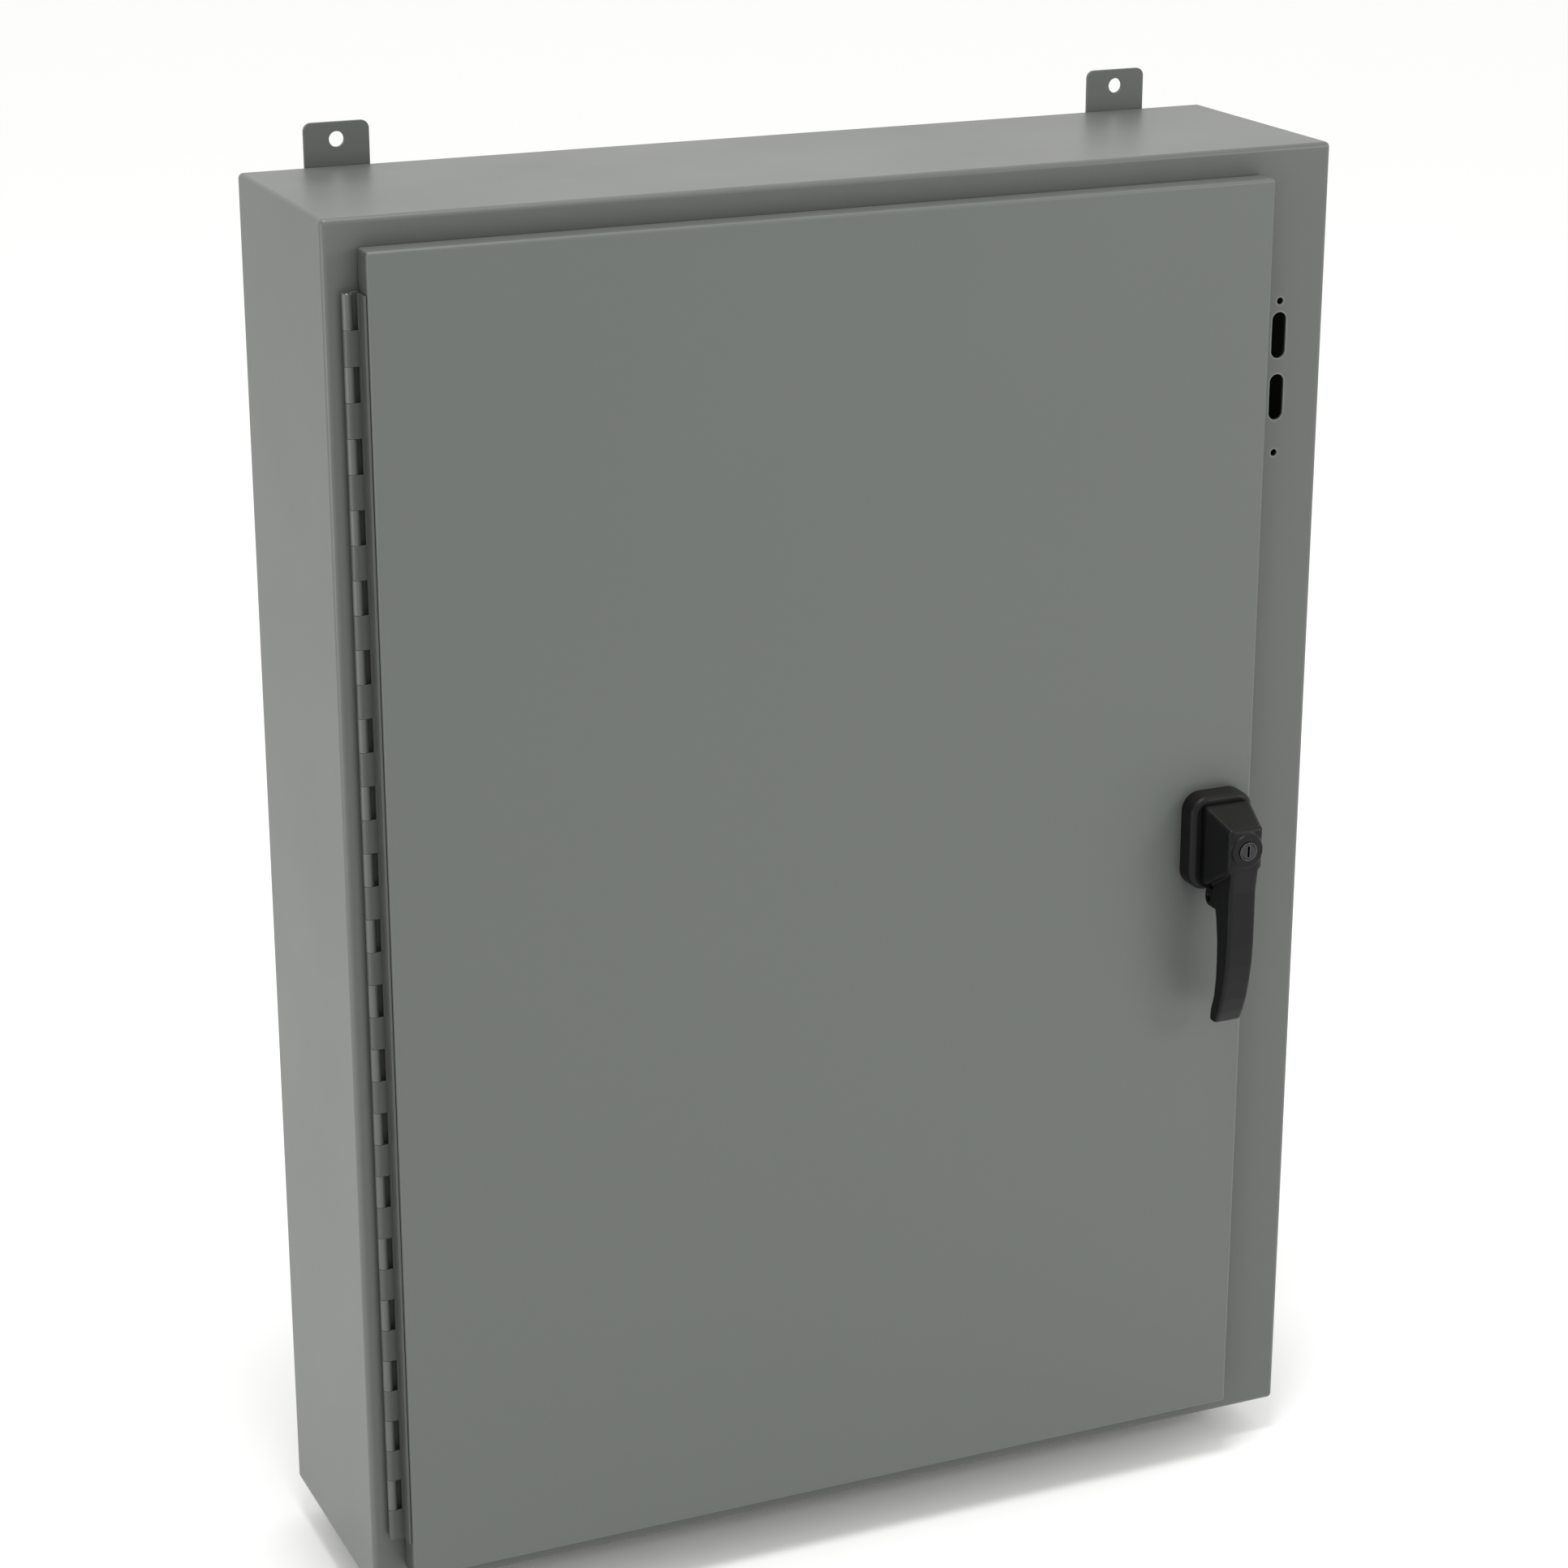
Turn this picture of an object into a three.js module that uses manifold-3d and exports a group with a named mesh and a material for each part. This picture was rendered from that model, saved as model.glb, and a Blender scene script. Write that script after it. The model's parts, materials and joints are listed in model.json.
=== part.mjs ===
// Wall-mounted automatic transfer switch in a flange-disconnect sheet-steel cabinet.
// Millimetres, +Z up. The front faces -Y and +X is to the right of someone facing it.
// Origin: on the wall plane (the back of the hanging lugs), on the cabinet's centre line,
// at half its height.
import * as THREE from 'three';
import { mergeVertices } from 'three/addons/utils/BufferGeometryUtils.js';
import Module from 'manifold-3d';

const wasm = await Module();
wasm.setup();

// ---------------------------------------------------------------- driving dimensions
const GAP = 0.3; // left between pieces that touch
const SHEET = 2; // cabinet and door steel

const cabinet = { width: 797.05, height: 1066.8, depth: 203.2 };
const lug = { width: 50, rise: 31.8, drop: 40, thickness: 3, fromSide: 76.2, holeRise: 19, holeR: 5.75, cornerR: 6 };
const opening = { left: 42, right: 68.5, topBottom: 37.5, collar: 14.5 };
const door = { left: 25, right: 60, topBottom: 20.5, proud: 22, backGap: 2.5 };
const gasketWidth = 8;
const disconnect = { fromRight: 39, slotWidth: 12.5, slotLength: 36, slotsDown: [145.6, 194], screwsDown: [119, 238] };
const hinge = { fromLeft: 15.5, proud: 5, barrelR: 3.8, pinR: 1.4, boreR: 1.9, leaf: 1.7, knuckle: 25.4, count: 38 };
const handle = { fromRight: 93, reach: 55, gripWidth: 24.5 };
const handleFoot = { halfWidth: 27.5, halfHeight: 39, depth: 17, shiftX: -1.5, shiftZ: -4 };
const rack = { module: 2, teeth: 10, bar: 6, offset: 12.1 };
const panel = { halfWidth: 360, halfHeight: 492, thickness: 2.5, standoff: 20, lip: 12, studInset: 25 };
const pole = { pitch: 90, halfWidth: 42, wall: 3, shaftDepth: 38, armReach: 47, throwDeg: 25 };
const contactEndZ = 23.2; // where the fixed contact bars meet the closed arm
const transferCentre = { x: -70, z: 70 };

// ---------------------------------------------------------------- planes and axes
const halfWidth = cabinet.width / 2;
const halfHeight = cabinet.height / 2;
const backY = -lug.thickness;
const flangeY = backY - cabinet.depth;
const doorFrontY = flangeY - door.proud;
const doorInnerY = doorFrontY + SHEET;
const openLeft = -halfWidth + opening.left;
const openRight = halfWidth - opening.right;
const openTop = halfHeight - opening.topBottom;
const hingeX = -halfWidth + hinge.fromLeft;
const hingeY = flangeY - hinge.proud;
const handleX = halfWidth - handle.fromRight;
const panelFrontY = backY - SHEET - panel.standoff - panel.thickness;
const frameFrontY = panelFrontY - 6.5;
const shaftY = frameFrontY - pole.shaftDepth;
const throwAngle = THREE.MathUtils.degToRad(pole.throwDeg);

// ---------------------------------------------------------------- solids
function bare(geometry) {
  const plain = geometry.index ? geometry.toNonIndexed() : geometry.clone();
  for (const name of Object.keys(plain.attributes)) {
    if (name !== 'position') plain.deleteAttribute(name);
  }
  const merged = mergeVertices(plain, 1e-4);
  const kept = [];
  for (let i = 0; i < merged.index.count; i += 3) {
    const [a, b, c] = [0, 1, 2].map((k) => merged.index.getX(i + k));
    if (a !== b && b !== c && c !== a) kept.push(a, b, c);
  }
  merged.setIndex(kept);
  return merged;
}

function outward(geometry) {
  const mesh = bare(geometry);
  const [a, b, c] = [new THREE.Vector3(), new THREE.Vector3(), new THREE.Vector3()];
  const { index, attributes: { position } } = mesh;
  let volume = 0;
  for (let i = 0; i < index.count; i += 3) {
    [a, b, c].forEach((v, k) => v.fromBufferAttribute(position, index.getX(i + k)));
    volume += a.dot(b.cross(c));
  }
  if (volume < 0) {
    for (let i = 0; i < index.count; i += 3) {
      const first = index.getX(i);
      index.setX(i, index.getX(i + 1));
      index.setX(i + 1, first);
    }
  }
  return mesh;
}

function toManifold(geometry) {
  const mesh = outward(geometry);
  return new wasm.Manifold(new wasm.Mesh({
    numProp: 3,
    vertProperties: new Float32Array(mesh.attributes.position.array),
    triVerts: new Uint32Array(mesh.index.array),
  }));
}

function toGeometry(manifold) {
  const { vertProperties, triVerts } = manifold.getMesh();
  const geometry = new THREE.BufferGeometry();
  geometry.setAttribute('position', new THREE.BufferAttribute(vertProperties, 3));
  geometry.setIndex(new THREE.BufferAttribute(triVerts, 1));
  return geometry;
}

const join = (first, ...rest) =>
  toGeometry(rest.reduce((sum, part) => sum.add(toManifold(part)), toManifold(first)));
const cut = (first, ...tools) =>
  toGeometry(tools.reduce((left, tool) => left.subtract(toManifold(tool)), toManifold(first)));

function block(x, y, z) {
  const geometry = new THREE.BoxGeometry(x[1] - x[0], y[1] - y[0], z[1] - z[0]);
  return geometry.translate((x[0] + x[1]) / 2, (y[0] + y[1]) / 2, (z[0] + z[1]) / 2);
}

// A cylinder from one end to the other along X, Y or Z, its axis through the other two centres.
function rod(axis, radius, ends, centre, sides = 16) {
  const geometry = new THREE.CylinderGeometry(radius, radius, ends[1] - ends[0], sides);
  const middle = (ends[0] + ends[1]) / 2;
  if (axis === 'x') return geometry.rotateZ(Math.PI / 2).translate(middle, centre[0], centre[1]);
  if (axis === 'y') return geometry.translate(centre[0], middle, centre[1]);
  return geometry.rotateX(Math.PI / 2).translate(centre[0], centre[1], middle);
}

// A shape drawn in X and Z, given thickness from yBack towards the front.
function facing(shape, yBack, thickness, curveSegments = 4) {
  const geometry = new THREE.ExtrudeGeometry(shape, { depth: thickness, bevelEnabled: false, curveSegments });
  return geometry.rotateX(Math.PI / 2).translate(0, yBack, 0);
}

// A shape drawn in Y and Z, extruded along X between the two ends.
function sideways(shape, ends, curveSegments = 4) {
  const depth = ends[1] - ends[0];
  const geometry = new THREE.ExtrudeGeometry(shape, { depth, bevelEnabled: false, curveSegments });
  const turn = new THREE.Matrix4().makeBasis(
    new THREE.Vector3(0, 1, 0), new THREE.Vector3(0, 0, 1), new THREE.Vector3(1, 0, 0));
  return geometry.applyMatrix4(turn).translate(ends[0], 0, 0);
}

function outline(points) {
  return new THREE.Shape(points.map(([u, v]) => new THREE.Vector2(u, v)));
}

function capsule(x, z, width, length) {
  const r = width / 2;
  const shape = new THREE.Shape();
  shape.absarc(x, z + length / 2 - r, r, 0, Math.PI);
  shape.absarc(x, z - length / 2 + r, r, Math.PI, 2 * Math.PI);
  return shape;
}

// A closed skin through level rings, each a rounded rectangle with its own half sizes.
function dome(rings, centre, sides) {
  const points = [];
  for (const { y, halfX, halfZ, power = 4, liftZ = 0 } of rings) {
    for (let i = 0; i < sides; i += 1) {
      const [c, s] = [Math.cos((2 * Math.PI * i) / sides), Math.sin((2 * Math.PI * i) / sides)];
      const x = halfX * Math.sign(c) * Math.abs(c) ** (2 / power);
      const z = halfZ * Math.sign(s) * Math.abs(s) ** (2 / power);
      points.push(centre[0] + x, y, centre[1] + liftZ + z);
    }
  }
  const triangles = [];
  for (let ring = 0; ring < rings.length - 1; ring += 1) {
    for (let i = 0; i < sides; i += 1) {
      const [a, b] = [ring * sides + i, ring * sides + ((i + 1) % sides)];
      triangles.push(a, a + sides, b, b, a + sides, b + sides);
    }
  }
  const last = (rings.length - 1) * sides;
  for (let i = 1; i < sides - 1; i += 1) {
    triangles.push(0, i, i + 1, last, last + i + 1, last + i);
  }
  const geometry = new THREE.BufferGeometry();
  geometry.setAttribute('position', new THREE.Float32BufferAttribute(points, 3));
  geometry.setIndex(triangles);
  return geometry;
}

// ---------------------------------------------------------------- the scene
const part = new THREE.Group();
const finishes = {
  grey: [0x787b77, 0.5, 0.1],
  zinc: [0xb4b6b5, 0.35, 0.9],
  white: [0xd9dbd8, 0.45, 0.05],
  black: [0x1d1d1e, 0.45, 0],
  rubber: [0x2b2b2b, 0.9, 0],
  brass: [0xb0894a, 0.35, 0.9],
  copper: [0xb87452, 0.35, 0.95],
  aluminium: [0xc4c6c8, 0.4, 0.9],
  phenolic: [0x55312a, 0.6, 0],
  red: [0xa8271d, 0.45, 0],
};

function add(name, finish, geometry) {
  const [color, roughness, metalness] = finishes[finish];
  const material = new THREE.MeshStandardMaterial({ color, roughness, metalness, flatShading: true });
  const mesh = new THREE.Mesh(outward(geometry), material);
  mesh.name = name;
  part.add(mesh);
}

// ---------------------------------------------------------------- cabinet
function cabinetBody() {
  const outer = block([-halfWidth, halfWidth], [flangeY, backY], [-halfHeight, halfHeight]);
  const hollow = block(
    [-halfWidth + SHEET, halfWidth - SHEET],
    [flangeY + SHEET, backY - SHEET],
    [-halfHeight + SHEET, halfHeight - SHEET]);
  const collar = block(
    [openLeft - SHEET, openRight + SHEET],
    [flangeY - opening.collar, flangeY + SHEET / 2],
    [-openTop - SHEET, openTop + SHEET]);
  const strikeReach = 14;
  const strike = block(
    [openRight + SHEET, openRight + strikeReach],
    [flangeY + SHEET / 2, flangeY + SHEET + strikeReach - 0.2],
    [-18, 18]);
  const doorway = block(
    [openLeft, openRight], [flangeY - opening.collar - 1, flangeY + SHEET + 1], [-openTop, openTop]);
  const slotX = halfWidth - disconnect.fromRight;
  const slots = disconnect.slotsDown.map((down) =>
    facing(capsule(slotX, halfHeight - down, disconnect.slotWidth, disconnect.slotLength),
      flangeY + SHEET + 1, SHEET + 2, 6));
  const screws = disconnect.screwsDown.map((down) =>
    rod('y', 2.8, [flangeY - 1, flangeY + SHEET + 1], [slotX, halfHeight - down], 12));
  return cut(join(cut(outer, hollow), collar, strike), doorway, ...slots, ...screws);
}

function wallLug(side) {
  const x = side * (halfWidth - lug.fromSide);
  const [top, bottom] = [halfHeight + lug.rise, halfHeight - lug.drop];
  const shape = new THREE.Shape();
  const [left, right, r] = [x - lug.width / 2, x + lug.width / 2, lug.cornerR];
  shape.moveTo(left, bottom);
  shape.lineTo(right, bottom);
  shape.absarc(right - r, top - r, r, 0, Math.PI / 2);
  shape.absarc(left + r, top - r, r, Math.PI / 2, Math.PI);
  const hole = new THREE.Path();
  hole.absarc(x, halfHeight + lug.holeRise, lug.holeR, 0, 2 * Math.PI, true);
  shape.holes.push(hole);
  return facing(shape, 0, lug.thickness - GAP);
}

// ---------------------------------------------------------------- hinge
const hingeLength = hinge.knuckle * hinge.count;
const knuckleSpan = (i) => {
  const top = hingeLength / 2 - i * hinge.knuckle;
  return [top - hinge.knuckle + GAP / 2, top - GAP / 2];
};

// The barrels of one leaf: every second knuckle, from the first one given.
function barrels(first) {
  const list = [];
  for (let i = first; i < hinge.count; i += 2) {
    list.push(rod('z', hinge.barrelR, knuckleSpan(i), [hingeX, hingeY], 8));
  }
  return list;
}

// The spaces beside the other leaf's knuckles.
function notches(first, reach) {
  const list = [];
  for (let i = first; i < hinge.count; i += 2) {
    const [low, high] = knuckleSpan(i);
    list.push(block([hingeX - 9, hingeX + reach], [hingeY - 8, hingeY + 8], [low - GAP, high + GAP]));
  }
  return list;
}

const pinBore = () =>
  rod('z', hinge.boreR, [-hingeLength / 2 - 1, hingeLength / 2 + 1], [hingeX, hingeY], 6);
const trimmed = [-hingeLength / 2 + GAP / 2, hingeLength / 2 - GAP / 2];

function cabinetLeaf() {
  const plate = block([hingeX, openLeft - SHEET - 3], [flangeY - GAP - hinge.leaf, flangeY - GAP], trimmed);
  return cut(join(cut(plate, ...notches(1, 4.6)), ...barrels(0)), pinBore());
}

function doorLeaf() {
  const doorSideX = -halfWidth + door.left - GAP;
  const front = hingeY - hinge.barrelR;
  const reach = block([hingeX, doorSideX], [front, front + hinge.leaf], trimmed);
  const side = block([doorSideX - hinge.leaf, doorSideX], [flangeY - 20, front + hinge.leaf], trimmed);
  return cut(join(cut(reach, ...notches(0, 6.4)), side, ...barrels(1)), pinBore());
}

// ---------------------------------------------------------------- door
function doorPanel() {
  const x = [-halfWidth + door.left, halfWidth - door.right];
  const z = halfHeight - door.topBottom;
  const pan = block(x, [doorFrontY, flangeY - door.backGap], [-z, z]);
  const hollow = block([x[0] + SHEET, x[1] - SHEET], [doorInnerY, flangeY], [-z + SHEET, z - SHEET]);
  const spindleHole = rod('y', 9, [doorFrontY - 1, doorInnerY + 1], [handleX, 0]);
  return cut(pan, hollow, spindleHole);
}

// A flat ring on the door that the collar around the doorway presses into.
function doorGasket() {
  const middle = SHEET / 2;
  const ring = (grow) => block(
    [openLeft - middle - grow, openRight + middle + grow],
    [doorInnerY + GAP, flangeY - opening.collar - GAP],
    [-openTop - middle - grow, openTop + middle + grow]);
  const inside = ring(-gasketWidth / 2).translate(0, 5, 0);
  const front = ring(-gasketWidth / 2).translate(0, -3, 0);
  return cut(ring(gasketWidth / 2), ring(-gasketWidth / 2), inside, front);
}

function printPocket() {
  const [x, z, wall] = [[-220, 80], [-330, -90], 2];
  const y = [doorInnerY + GAP, doorInnerY + 36];
  const tray = block(x, y, z);
  const room = block([x[0] + wall, x[1] - wall], [y[0] + wall, y[1] - wall], [z[0] + wall, z[1] + 1]);
  const fingerDip = rod('y', 45, [y[1] - wall - 1, y[1] + 1], [(x[0] + x[1]) / 2, z[1] + 10], 20);
  return cut(tray, room, fingerDip);
}

// ---------------------------------------------------------------- handle and lock
const handlePlane = doorFrontY - GAP;
const baseFrontY = handlePlane - handleFoot.depth;
const hubFrontY = doorFrontY - handle.reach;

function handleBase() {
  const { halfWidth: w, halfHeight: h } = handleFoot;
  const rings = [
    { y: handlePlane, halfX: w, halfZ: h },
    { y: handlePlane - 9, halfX: w, halfZ: h },
    { y: baseFrontY + 3, halfX: w - 2, halfZ: h - 2 },
    { y: baseFrontY, halfX: w - 6, halfZ: h - 4 },
  ];
  return cut(dome(rings, [handleX + handleFoot.shiftX, handleFoot.shiftZ], 28),
    rod('y', 6.4, [baseFrontY - 1, handlePlane + 1], [handleX, 0]));
}

// The lever: a hub that tapers up to the lock, a bowed grip that hangs from it, and a
// padlock eye behind the grip.
function handleLever() {
  const hubBackY = baseFrontY - GAP;
  const hub = dome([
    { y: hubBackY, halfX: 20, halfZ: 32, power: 6, liftZ: -4 },
    { y: hubBackY - 5, halfX: 19.5, halfZ: 31.5, power: 6, liftZ: -4 },
    { y: hubFrontY + 2, halfX: 14.5, halfZ: 16.5, power: 3 },
    { y: hubFrontY, halfX: 13.5, halfZ: 14.5, power: 2.2 },
  ], [handleX, 0], 24);
  const away = (q, z) => [doorFrontY - q, z];
  const grip = sideways(outline([
    away(54, 0), away(53, -18), away(50.5, -36), away(50.6, -78), away(49.5, -98), away(47, -113),
    away(43.7, -128), away(39.5, -140), away(35.5, -149), away(32, -151), away(27, -150.5),
    away(25, -147), away(26.5, -139), away(30, -129), away(32, -118), away(32.5, -98),
    away(31.8, -80), away(29, -62), away(25, -48), away(20.5, -38), away(20.5, 0),
  ]), [handleX - handle.gripWidth / 2, handleX + handle.gripWidth / 2]);
  const eye = sideways(outline([
    away(22, -33), away(17.9, -40), away(12, -43.8), away(8, -46), away(8, -57), away(13, -61), away(31, -62),
  ]), [handleX - 10, handleX - 6]);
  const eyeHole = rod('x', 3.4, [handleX - 11, handleX - 5], [doorFrontY - 14, -51], 12);
  const spindleBore = rod('y', 6.3, [doorFrontY - 32, hubBackY + 1], [handleX, 0]);
  const lockBore = rod('y', 7.9, [hubFrontY - 1, hubFrontY + 13], [handleX, 0]);
  return cut(join(hub, grip, eye), eyeHole, spindleBore, lockBore);
}

function lockCylinder() {
  const body = rod('y', 7.5, [hubFrontY - 1, hubFrontY + 12.7], [handleX, 0], 20);
  const keySlot = block([handleX - 1, handleX + 1], [hubFrontY - 2, hubFrontY + 5], [-4.5, 4.5]);
  return cut(body, keySlot);
}

// ---------------------------------------------------------------- rod latch
const pitchR = (rack.module * rack.teeth) / 2;
const toothPitch = Math.PI * rack.module;
const rodY = [flangeY + 8.2, flangeY + 14.2];
const retract = (pitchR * Math.PI) / 2;
const rollerR = 8;
const rollerZ = openTop + 5.1;
const rollerY = flangeY + SHEET + 0.4 + rollerR;

function pinion() {
  const [tip, root] = [1.3 / 2, 3.2 / 2];
  const [tipR, rootR] = [pitchR + 1.6, pitchR - 2.2];
  const points = [];
  for (let i = 0; i < rack.teeth; i += 1) {
    const turn = (2 * Math.PI * i) / rack.teeth;
    const corners = [[rootR, -root], [tipR, -tip], [tipR, tip], [rootR, root]];
    for (const [r, side] of corners) {
      points.push([
        handleX + r * Math.cos(turn) - side * Math.sin(turn),
        r * Math.sin(turn) + side * Math.cos(turn),
      ]);
    }
  }
  return facing(outline(points), rodY[1] + 1, 8);
}

function handleSpindle() {
  const camReach = 36;
  const camY = flangeY + 16.3;
  const shaft = rod('y', 6, [doorFrontY - 31.7, camY + 9], [handleX, 0]);
  const camShape = new THREE.Shape();
  camShape.absarc(handleX, 0, 11, Math.PI / 2, 1.5 * Math.PI);
  camShape.absarc(handleX + camReach - 7, 0, 7, -Math.PI / 2, Math.PI / 2);
  const nut = rod('y', 9, [camY + 4.5, camY + 8], [handleX, 0], 6);
  return join(shaft, pinion(), facing(camShape, camY + 5, 5), nut);
}

function latchRod(end) {
  const [inner, outer] = [handleX + rack.offset, handleX + rack.offset + rack.bar];
  const pieces = [block([inner, outer], rodY, [-22, rollerZ + 7])];
  const [rootHalf, tipHalf] = [1.6, 0.65];
  const reach = pitchR - 1.6 - rack.offset;
  for (let tooth = -2; tooth <= 4; tooth += 1) {
    const z = (tooth + 0.5) * toothPitch;
    pieces.push(facing(outline([
      [inner + 0.5, z - rootHalf], [inner + 0.5, z + rootHalf], [inner, z + rootHalf],
      [inner + reach, z + tipHalf], [inner + reach, z - tipHalf], [inner, z - rootHalf],
    ]), rodY[1], rodY[1] - rodY[0]));
  }
  pieces.push(rod('x', 2.5, [handleX + 2.4, inner + 1], [rollerY, rollerZ], 12));
  pieces.push(rod('x', 4, [handleX + 2, handleX + 3.8], [rollerY, rollerZ], 12));
  return mirrorEnd(join(...pieces), end);
}

// Turns an upper piece half a turn about the spindle to make its lower twin.
function mirrorEnd(geometry, end) {
  if (end > 0) return geometry;
  return geometry.translate(-handleX, 0, 0).rotateY(Math.PI).translate(handleX, 0, 0);
}

function rodRoller(end) {
  const ends = [handleX + 4.2, handleX + rack.offset - 0.5];
  const wheel = rod('x', rollerR, ends, [rollerY, rollerZ], 20);
  return mirrorEnd(cut(wheel, rod('x', 2.9, [ends[0] - 1, ends[1] + 1], [rollerY, rollerZ], 12)), end);
}

const footY = [doorInnerY + GAP, flangeY - 8];
const grooveX = [handleX + rack.offset - 0.3, handleX + rack.offset + rack.bar + GAP];

function rodGuide(end) {
  const z = [293, 307];
  const foot = block([handleX + 4, handleX + 18.2], footY, z);
  const head = block([handleX + 8, grooveX[1] + 2.2], [footY[1] - 1, rodY[1] + 4], z);
  const slot = block(grooveX, [rodY[0] - GAP, rodY[1] + GAP], [z[0] - 1, z[1] + 1]);
  return mirrorEnd(cut(join(foot, head), slot), end);
}

function latchGearbox() {
  const halfTall = 42;
  const foot = block([handleX - 24, handleX + 18.2], footY, [-halfTall, halfTall]);
  const side = grooveX[1] + 2 - handleX;
  const head = block([handleX - side, handleX + side], [footY[1] - 1, rodY[1] + 1.5], [-halfTall, halfTall]);
  const open = rodY[1] + 3;
  const toothReach = 8.1;
  const grooves = [1, -1].map((s) => block(
    [Math.min(s * toothReach, s * (grooveX[1] - handleX)), Math.max(s * toothReach, s * (grooveX[1] - handleX))],
    [rodY[0] - 1, open], [-halfTall - 1, halfTall + 1]).translate(handleX, 0, 0));
  const well = rod('y', 12.4, [rodY[0] - 2, open], [handleX, 0], 24);
  const bore = rod('y', 6.6, [footY[0] - 1, open], [handleX, 0]);
  return cut(join(foot, head), ...grooves, well, bore);
}

// ---------------------------------------------------------------- equipment panel
const studX = panel.halfWidth - panel.studInset;
const studZ = panel.halfHeight - panel.studInset;
const corners = [[-1, 1], [1, 1], [-1, -1], [1, -1]];

function equipmentPanel() {
  const plate = block([-panel.halfWidth, panel.halfWidth],
    [panelFrontY, panelFrontY + panel.thickness], [-panel.halfHeight, panel.halfHeight]);
  const lips = [-1, 1].map((s) => block(
    [Math.min(s * panel.halfWidth, s * (panel.halfWidth - panel.thickness)),
      Math.max(s * panel.halfWidth, s * (panel.halfWidth - panel.thickness))],
    [panelFrontY + 1, panelFrontY + panel.thickness + panel.lip],
    [-panel.halfHeight, panel.halfHeight]));
  const holes = corners.map(([sx, sz]) =>
    rod('y', 6, [panelFrontY - 1, panelFrontY + panel.thickness + 1], [sx * studX, sz * studZ], 12));
  return cut(join(plate, ...lips), ...holes);
}

function panelStud([sx, sz]) {
  const [back, seat, face] = [backY - SHEET - GAP, panelFrontY + panel.thickness + GAP, panelFrontY - GAP];
  const profile = [
    [0, back], [9, back], [9, seat], [5, seat], [5, face], [8.5, face],
    [8.5, face - 7.5], [5, face - 7.5], [5, face - 16], [0, face - 16],
  ].map(([r, y]) => new THREE.Vector2(r, y));
  return new THREE.LatheGeometry(profile, 12).translate(sx * studX, 0, sz * studZ);
}

// A drilled bar on two feet, with a row of clamp screws.
function wireBar(centreX, centreZ, length, screws, footDepth) {
  const front = panelFrontY - GAP;
  const bar = block([centreX - length / 2, centreX + length / 2],
    [front - footDepth - 12, front - footDepth], [centreZ - 11, centreZ + 11]);
  const feet = [-1, 1].map((s) => block(
    [centreX + s * (length / 2 - 16) - 10, centreX + s * (length / 2 - 16) + 10],
    [front - footDepth - 1, front], [centreZ - 9, centreZ + 9]));
  const pitch = (length - 70) / (screws - 1);
  const heads = Array.from({ length: screws }, (_, i) => rod('y', 4.5,
    [front - footDepth - 15, front - footDepth - 11], [centreX - length / 2 + 35 + i * pitch, centreZ], 8));
  return join(bar, ...feet, ...heads);
}

// ---------------------------------------------------------------- transfer mechanism
const poleX = (i) => transferCentre.x + (i - 1) * pole.pitch;
const depth = (d) => frameFrontY - d; // distance out from the transfer frame's face
const tz = transferCentre.z;
const journal = { from: 150, to: 156 };

function transferFrame() {
  const { x } = transferCentre;
  const plate = block([x - 165, x + 212], [frameFrontY, panelFrontY - 0.5], [tz - 225, tz + 175]);
  const cheeks = [-1, 1].map((s) => block(
    [x + Math.min(s * journal.from, s * journal.to), x + Math.max(s * journal.from, s * journal.to)],
    [depth(62), frameFrontY + 1], [tz - 30, tz + 30]));
  const bore = rod('x', 8.4, [x - 170, x + 170], [shaftY, tz], 20);
  return cut(join(plate, ...cheeks), bore);
}

function poleHousing(i) {
  const x = poleX(i);
  const wide = [x - pole.halfWidth, x + pole.halfWidth];
  const inner = [wide[0] + 1, wide[1] - 1];
  const slab = block(wide, [depth(20), depth(GAP)], [tz - 208, tz + 155]);
  const blocks = [[34, 100], [-100, -34]].map(([low, high]) =>
    block(inner, [depth(70), depth(19)], [tz + low, tz + high]));
  const walls = [[wide[0], wide[0] + pole.wall], [wide[1] - pole.wall, wide[1]]].map((at) =>
    block(at, [depth(88), depth(19)], [tz - 208, tz + 155]));
  const shaftWay = rod('x', 10.5, [wide[0] - 1, wide[1] + 1], [shaftY, tz], 16);
  return cut(join(slab, ...blocks, ...walls), shaftWay);
}

// A slotted hood over one source's three contact chambers.
function arcCover(side) {
  const x = [poleX(0) - pole.halfWidth - 1, poleX(2) + pole.halfWidth + 1];
  const z = side > 0 ? [tz + 34, tz + 100] : [tz - 100, tz - 34];
  const shell = block(x, [depth(112), depth(88.3)], z);
  const inside = block([x[0] + 3, x[1] - 3], [depth(109), depth(88)], [z[0] + 3, z[1] - 3]);
  const slots = [];
  for (let i = 0; i < 3; i += 1) {
    for (let k = -2; k <= 2; k += 1) {
      const middle = poleX(i) + k * 13;
      slots.push(block([middle - 2.5, middle + 2.5], [depth(113), depth(108)], [z[0] + 12, z[1] - 12]));
    }
  }
  return cut(shell, inside, ...slots);
}

const raise = (geometry) => geometry.translate(0, -shaftY, -tz).rotateX(-throwAngle).translate(0, shaftY, tz);

function contactArm(i) {
  const x = poleX(i);
  const hub = rod('x', 13, [x - 9, x + 9], [shaftY, tz], 16);
  const arm = block([x - 7, x + 7], [shaftY - pole.armReach, shaftY - 8], [tz - 5, tz + 5]);
  return raise(cut(join(hub, arm), rod('x', 8.3, [x - 10, x + 10], [shaftY, tz], 16)));
}

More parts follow.
